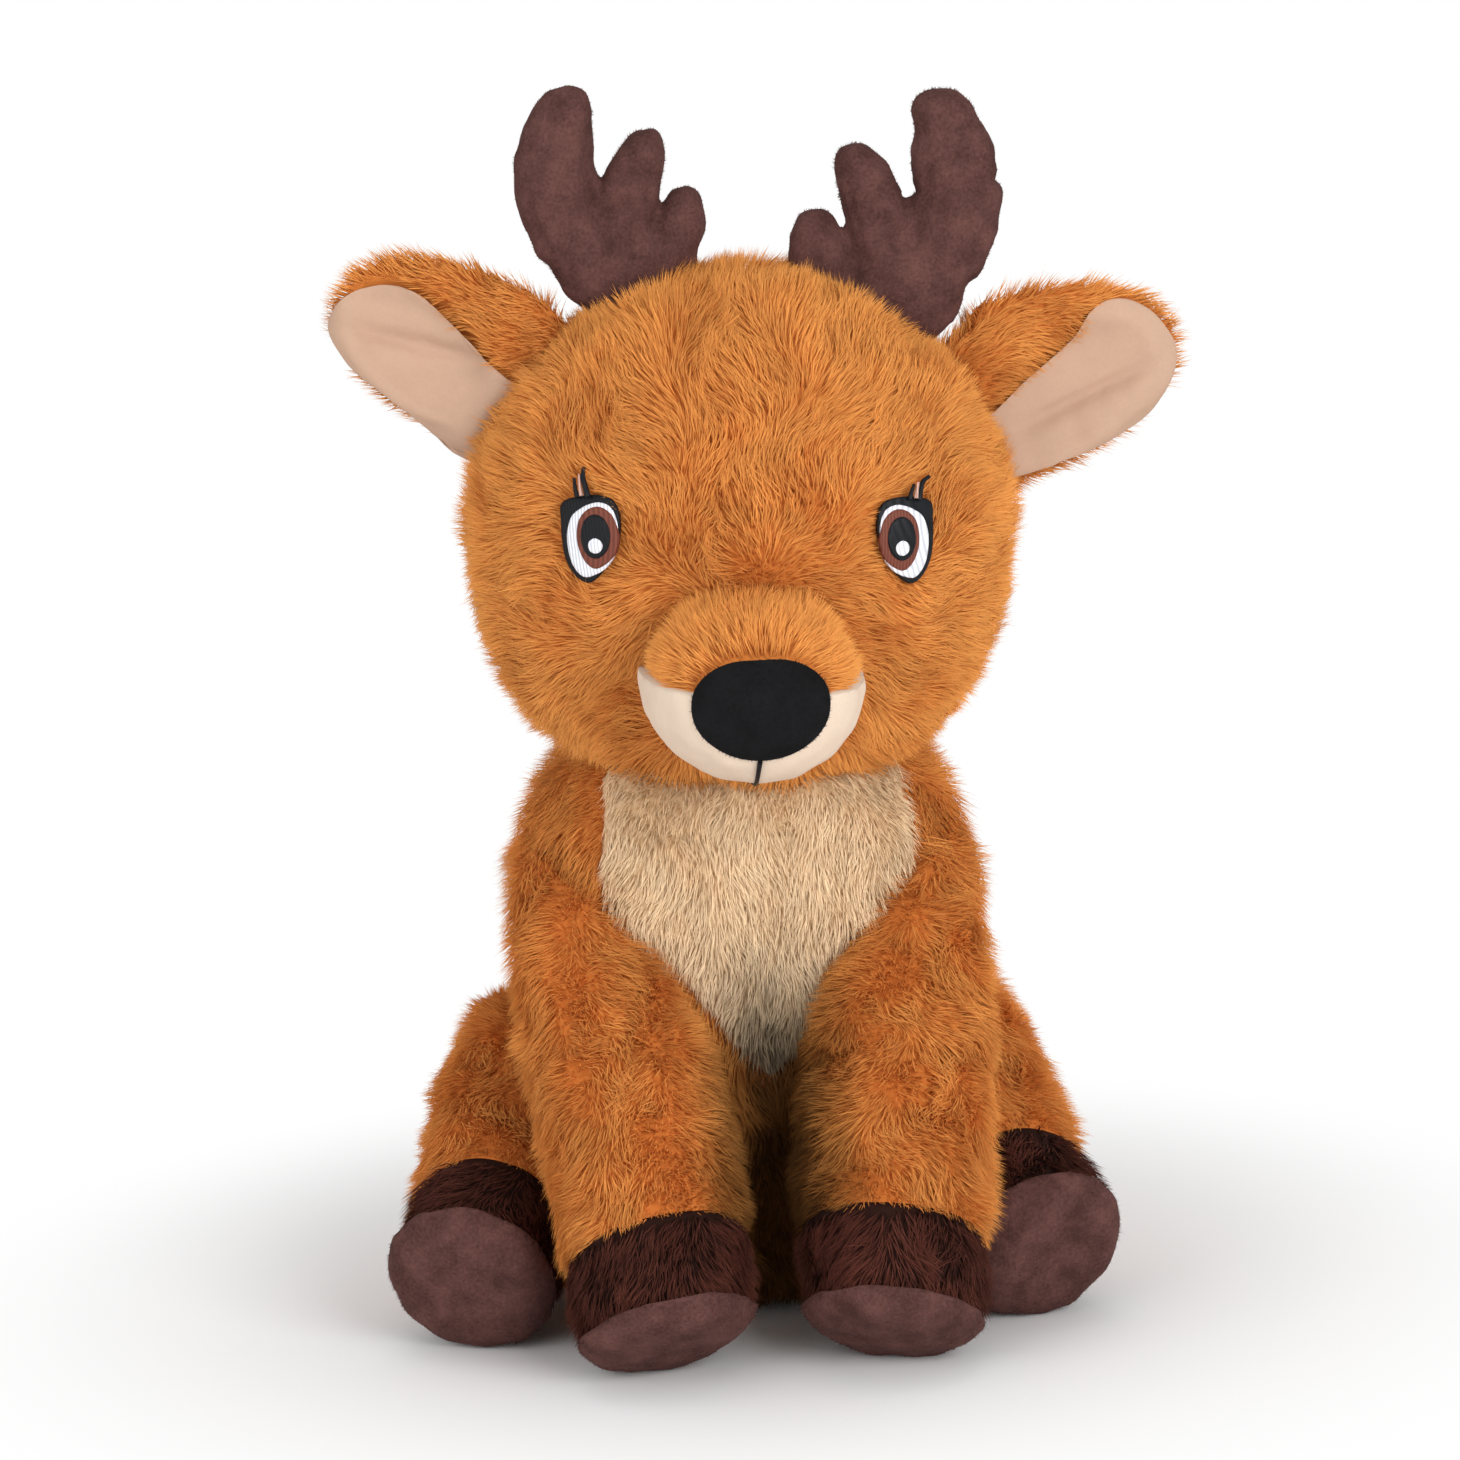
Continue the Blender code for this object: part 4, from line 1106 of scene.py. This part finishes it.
class DEER_OT_head(bpy.types.Operator):
    """Sews the head's fur cloth, combed away from the nose and trimmed round the eyes"""
    bl_idname = "deer.head"
    bl_label = "Head"

    def execute(self, context):
        pile = context.scene.pile_sizes
        head = sunk(stuffed(rounded("head_coat", FORMS["head"], pile.voxel, steps=6), cap=0.0012), pile.depth)
        stitching = ("stitched_", "long_lash", "lash_")
        stitched = [piece for piece in bpy.data.objects if piece.name.startswith(stitching)]
        clear = [(stitched, 0.0006)] if stitched else []
        trim = [(both_sides("eye_outline"), 0.006, 0.5), (["muzzle_chin"], 0.005, 0.6)]
        grown(head, away_from(NOSE_TIP, 0.9), ["head_fur"], 3, long_pile(upright=0.68, unruly=0.8, clump=0.28),
              pile.depth, clear=clear, trim=trim, against=["body", "muzzle"])
        sewn(head, "head", ["head_fur", "head_fill"], tan_pile())
        return {"FINISHED"}


class DEER_OT_muzzle(bpy.types.Operator):
    """Sews the muzzle's fur, the velour chin, the nose patch and the stitched mouth"""
    bl_idname = "deer.muzzle"
    bl_label = "Muzzle"

    def execute(self, context):
        colours = context.scene.cloth_colours
        form = rounded("muzzle_coat", FORMS["muzzle"], voxel=0.0014, steps=9, root=(["head_fur"], 0.0016, 0.0060))
        stuffed(form, cap=0.0003, slack=0.02)
        surface = tree_over(form)
        seam, upwards = seam_between("muzzle_fur", "muzzle_chin")
        chin = sliced(form, "chin", seam, -upwards)
        chin.data.shade_smooth()
        puckered(chin, height=0.0003, step=0.007, seed=5)
        low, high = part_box("nose")
        half = (high - low) / 2
        outline = [(x * half.x, z * half.z) for x, z in NOSE_OUTLINE]
        nose = patch("nose_patch", ((low + high) / 2, *FRONTAL), outline, surface, height=0.0014, thickness=0.0030,
                     lift=0.0007, segments=72, rings=26)
        depth = 0.0036
        sunk(form, depth)
        fine = long_pile(strand=0.95, density=1.1, upright=0.62, unruly=0.3, clump=0.3)
        grown(form, away_from(NOSE_TIP), ["muzzle_fur"], 4, fine, depth, clear=[([nose], 0.0010)],
              trim=[(["muzzle_chin"], 0.004, 0.6)], against=["head"], partners=["muzzle_chin"])
        light = pile_finish("muzzle_pile", colours.tan_root, scaled(colours.tan_tip, 1.06), 0.2)
        sewn(form, "head", ["muzzle_fur", "muzzle_fill"], light)
        cream = nap_finish("cream_nap", scaled(colours.cream_velour, 0.9), colours.cream_velour, 2.0, bump=0.15)
        sewn(chin, "head", ["muzzle_chin"], cream)
        worn = scaled(colours.black_velour, 2.2)
        black = nap_finish("black_nap", colours.black_velour, worn, 2.5, bump=0.3, sheen=0.04)
        grown(nose, away_from((0, -0.09, 0.16)), [nose], 7, short_nap(), 0.0)
        sewn(nose, "head", ["nose"], black)
        low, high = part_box("mouth_stitch")
        route = []
        for share in (0, 0.25, 0.5, 0.75, 1):
            across = high.x - 0.0006 + (low.x - high.x + 0.0012) * share**0.7
            place = Vector((across, low.y - 0.02, high.z + 0.0010 + (low.z - high.z + 0.0004) * share))
            route.append(under_ray(surface, place, Vector((0, 1, 0)), place) + Vector((0, -0.0002, -0.0001)))
        mouth = stitched_line("mouth_thread", route, radius=0.0006, taper=0.25)
        sewn(mouth, "head", ["mouth_stitch"], black_stitching())
        return {"FINISHED"}


class DEER_OT_ears(bpy.types.Operator):
    """Sews both ears: fur behind and round the rim, velour in front"""
    bl_idname = "deer.ears"
    bl_label = "Ears"

    def execute(self, context):
        colours = context.scene.cloth_colours
        blush = nap_finish("blush_nap", scaled(colours.blush_velour, 0.86), colours.blush_velour, 1.6, bump=0.15)
        depth = 0.0030
        for seed, which in enumerate(SIDES):
            root = Vector(JOINTS[f"ear_{which}_flop"]["pos_m"])
            way = middle_of(f"ear_fur_{which}") - root
            nodes = [f"ear_fur_{which}", f"ear_lining_{which}"]
            ear = rounded(f"ear_coat_{which}", nodes, voxel=0.0014, steps=5, root=(["head_fur"], 0.0040, 0.0080))
            stuffed(ear, cap=0.0006)
            outline = metres(LINING_OUTLINES[which])
            middle = Vector((outline[:, 0].mean(), root.y, outline[:, 1].mean()))
            local = outline - (middle.x, middle.z)
            lining = patch(f"ear_velour_{which}", (middle, *FRONTAL), local, tree_over(ear),
                           height=0.0004, thickness=0.0016, lift=-0.0004, segments=96, rings=40, edge=0.5)
            self.creased(lining, which)
            sunk(ear, depth)
            fine = long_pile(strand=0.88, density=1.1, upright=0.66, unruly=0.35, clump=0.3)
            grown(ear, along(way), nodes, 20 + seed, fine, depth, clear=[([lining], 0.0007)], against=["head"])
            sewn(ear, f"ear_{which}", nodes[:1], tan_pile())
            sewn(lining, f"ear_{which}", nodes[1:], blush)
        return {"FINISHED"}

    def creased(self, lining, which):
        """Folds the lining along its crease and gives it small soft puckers."""
        start, end = metres(LINING_CREASES[which])
        length = np.linalg.norm(end - start)
        points = points_of(lining.data)
        flat = points[:, [0, 2]] - start
        run = (end - start) / length
        along_it = np.clip(flat @ run / length, 0, 1)
        across = flat @ np.array((-run[1], run[0]))
        fade = np.sin(np.pi * np.clip(along_it, 0.02, 0.98)) ** 0.5
        depth = 0.0016 * np.exp(-(across / 0.0016) ** 2) - 0.0008 * np.exp(-((across - 0.0042) / 0.0026) ** 2)
        points[:, 1] += depth * fade
        put_points(lining, points)
        puckered(lining, height=0.0004, step=0.010, seed=30)


class DEER_OT_antlers(bpy.types.Operator):
    """Sews both velour antlers"""
    bl_idname = "deer.antlers"
    bl_label = "Antlers"

    def execute(self, context):
        for seed, which in enumerate(SIDES):
            nodes = [f"antler_{which}", f"antler_fill_{which}"]
            root = (["head_fur"], 0.0030, 0.0060)
            antler = rounded(f"antler_velour_{which}", nodes, voxel=0.0010, steps=8, root=root)
            stuffed(antler, cap=0.0010)
            points = points_of(antler.data)
            normals = normals_of(antler.data)
            for x, z, radius, depth in metres(ANTLER_DENTS[which]):
                reach = np.hypot(points[:, 0] - x, points[:, 2] - z) / radius
                points -= normals * (depth * np.exp(-reach**2) * (normals[:, 1] < 0))[:, None]
            put_points(antler, points)
            smoothed(antler, 2)
            puckered(antler, height=0.0005, step=0.006, seed=40 + seed)
            for x, z, x_end, z_end in metres(ANTLER_SEAMS[which]):
                points = points_of(antler.data)
                off = points[:, 2] - np.interp(points[:, 0], (x, x_end), (z, z_end))
                groove = SEAM_GROOVE * np.exp(-(off / SEAM_GROOVE) ** 2) * (points[:, 0] > x)
                lifted(antler, -groove[:, None])
            antler.data.shade_smooth()
            grown(antler, along((0, 0, 1)), [antler], 50 + seed, short_nap(), 0.0)
            sewn(antler, f"antler_{which}", nodes, brown_nap())
        return {"FINISHED"}


class DEER_OT_legs(bpy.types.Operator):
    """Sews the four legs: fur, a brown cuff and a velour sole on each"""
    bl_idname = "deer.legs"
    bl_label = "Legs"

    def execute(self, context):
        for seed, kind in enumerate(("front_leg", "hind_leg")):
            for which in SIDES:
                self.sew_leg(context, kind, which, 60 + 10 * seed + 5 * (which == "left"))
        return {"FINISHED"}

    def sew_leg(self, context, kind, which, seed):
        pile = context.scene.pile_sizes
        fur, cuff, sole, fill = (f"{kind}_{piece}_{which}" for piece in ("fur", "cuff", "sole", "fill"))
        other = "hind_leg" if kind == "front_leg" else "front_leg"
        others = ["body", "head", f"{other}_{which}"]
        body = f"{kind}_{which}"
        seam, upwards = seam_between(fur, cuff)
        sole_seam, sole_up = seam_between(cuff, sole)
        lay = Vector(-upwards) + Vector((0, 0, -0.35))
        leg = rounded(f"{kind}_coat_{which}", FORMS[body], voxel=0.0018, steps=6,
                      root=(["body_fur", "chest_panel"], HIP_REACH[kind], 0.0090), closing=0.0022)
        stuffed(leg, cap=0.0011)
        pad = sliced(leg, f"{kind}_pad_{which}", sole_seam, -sole_up)
        sunk(leg, pile.depth)
        low_end = sliced(leg, "low_end", seam, -upwards)
        band = sliced(low_end, f"{kind}_cuff_coat_{which}", sole_seam - 0.003 * sole_up, sole_up)
        bpy.data.objects.remove(low_end)
        lifted(band, 0.0004)
        # shade paints shadow on a leg's pile where it lies in the narrow fold between the front legs
        grown(leg, along(lay), [fur, fill], seed, long_pile(upright=0.68, unruly=0.75, clump=0.28), pile.depth,
              trim=[([cuff], 0.006, 0.5)], against=others, partners=[cuff, sole], shade=painted_fold_shadow)
        sewn(leg, body, [fur, fill], tan_pile())
        grown(band, along(lay), [cuff], seed + 1, long_pile(strand=0.95, unruly=0.6), pile.depth,
              against=others, partners=[fur, sole])
        sewn(band, body, [cuff], brown_pile())
        puckered(pad, height=0.0004, step=0.006, seed=seed + 2)
        points = points_of(pad.data)
        points[:, 2] = np.maximum(points[:, 2], LOWEST_SOLE)
        put_points(pad, points)
        pad.data.shade_smooth()
        grown(pad, away_from(middle_of(cuff)), [pad], seed + 3, short_nap(), 0.0)
        sewn(pad, body, [sole], brown_nap())


class DEER_OT_tail(bpy.types.Operator):
    """Sews the short tail"""
    bl_idname = "deer.tail"
    bl_label = "Tail"

    def execute(self, context):
        depth = 0.0012
        form = rounded("tail_coat", FORMS["tail"], voxel=0.0016, steps=4, root=(["body_fur"], 0.0030, 0.0080))
        tail = sunk(form, depth)
        way = middle_of("tail") - Vector(JOINTS["tail_flick"]["pos_m"])
        strands = long_pile(strand=0.9, density=1.2, upright=0.6, clump=0.3)
        grown(tail, along(way), ["tail"], 90, strands, depth, against=["body"])
        sewn(tail, "tail", ["tail"], tan_pile())
        return {"FINISHED"}


class DEER_OT_stage(bpy.types.Operator):
    """Sets the pale floor, the soft lights and the camera"""
    bl_idname = "deer.stage"
    bl_label = "Stage"

    def execute(self, context):
        self.lay_floor(context.scene.stage_sizes.floor)
        for name, place, size, power in LIGHTS:
            self.light(name, place, size, power)
        self.surround(context.scene)
        context.scene.view_settings.view_transform = "Standard"
        self.stand_camera(context, context.scene.stage_sizes)
        return {"FINISHED"}

    def lay_floor(self, colour):
        """A pale floor that catches the shadow and fades to white away from the deer, as the camera sees it."""
        bpy.ops.object.select_all(action="DESELECT")
        bpy.ops.mesh.primitive_plane_add(size=6, location=(0, 0, 0))
        floor = bpy.context.object
        floor.name = "floor"
        paint = bpy.data.materials.new("floor_paint")
        paint.use_nodes = True
        tree = paint.node_tree
        shader = tree.nodes["Principled BSDF"]
        shader.inputs["Base Color"].default_value = (*colour, 1)
        shader.inputs["Roughness"].default_value = 0.9
        place = linked(tree, "TexCoord").outputs["Object"]
        away = linked(tree, "VectorMath", [("operation", "LENGTH")], _0=place).outputs["Value"]
        start, end = FLOOR_FADE
        far = linked(tree, "MapRange", SMOOTH_STEP, Value=away, From_Min=start, From_Max=end).outputs[0]
        seen = linked(tree, "LightPath").outputs["Is Camera Ray"]
        white = linked(tree, "Emission", Color=WHITE, Strength=1.0).outputs[0]
        mix = linked(tree, "MixShader", _0=maths(tree, "MULTIPLY", far, seen), _1=shader.outputs[0], _2=white)
        tree.links.new(mix.outputs[0], tree.nodes["Material Output"].inputs["Surface"])
        floor.data.materials.append(paint)

    def surround(self, scene):
        """Soft light from all round, which the camera sees as plain white."""
        world = bpy.data.worlds.new("studio")
        scene.world = world
        world.use_nodes = True
        tree = world.node_tree
        sky = tree.nodes["Background"]
        sky.inputs["Color"].default_value = WHITE
        sky.inputs["Strength"].default_value = SKY_STRENGTH
        white = linked(tree, "Background", Color=WHITE, Strength=1.0).outputs[0]
        seen = linked(tree, "LightPath").outputs["Is Camera Ray"]
        mix = linked(tree, "MixShader", _0=seen, _1=sky.outputs[0], _2=white).outputs[0]
        tree.links.new(mix, tree.nodes["World Output"].inputs["Surface"])

    def light(self, name, place, size, power):
        bpy.ops.object.light_add(type="AREA", location=place)
        lamp = bpy.context.object
        lamp.name = name
        lamp.data.size = size
        lamp.data.energy = power
        lamp.rotation_euler = (Vector((0, 0, 0.14)) - Vector(place)).to_track_quat("-Z", "Y").to_euler()

    def stand_camera(self, context, sizes):
        back = Vector((math.sin(sizes.turn) * math.cos(sizes.rise), -math.cos(sizes.turn) * math.cos(sizes.rise),
                       math.sin(sizes.rise)))
        right = Vector((0, 0, 1)).cross(back).normalized()
        up = back.cross(right)
        turned = Matrix((right, up, back)).transposed() @ Matrix.Rotation(sizes.roll, 3, "Z")
        stand = PICTURE_MIDDLE + back * sizes.distance
        bpy.ops.object.camera_add(location=stand)
        camera = context.object
        camera.matrix_world = Matrix.Translation(stand) @ turned.to_4x4()
        camera.data.sensor_width = SENSOR
        camera.data.lens = SENSOR * sizes.distance / sizes.frame_width
        camera.data.clip_end = 20
        context.scene.camera = camera


class DEER_PT_panel(bpy.types.Panel):
    """The deer's sizes, colours and steps"""
    bl_label = "Plush Deer"
    bl_space_type = "VIEW_3D"
    bl_region_type = "UI"
    bl_category = "Plush Deer"

    def draw(self, context):
        for group in (context.scene.pile_sizes, context.scene.cloth_colours, context.scene.stage_sizes):
            for name in group.__annotations__:
                self.layout.prop(group, name)
        for step in STEPS:
            self.layout.operator(step.bl_idname)


STEPS = (DEER_OT_trunk, DEER_OT_eyes, DEER_OT_head, DEER_OT_muzzle, DEER_OT_ears, DEER_OT_antlers, DEER_OT_legs,
         DEER_OT_tail, DEER_OT_stage)
GROUPS = {"pile_sizes": PileSizes, "cloth_colours": ClothColours, "stage_sizes": StageSizes}


def register():
    for group in (*GROUPS.values(), *STEPS, DEER_PT_panel):
        bpy.utils.register_class(group)
    for name, group in GROUPS.items():
        setattr(bpy.types.Scene, name, PointerProperty(type=group))


def unregister():
    for name in GROUPS:
        delattr(bpy.types.Scene, name)
    for group in reversed((*GROUPS.values(), *STEPS, DEER_PT_panel)):
        bpy.utils.unregister_class(group)


def main():
    register()
    for step in STEPS:
        getattr(bpy.ops.deer, step.bl_idname.split(".")[1])()
    bpy.context.view_layer.update()


if __name__ == "__main__":
    main()
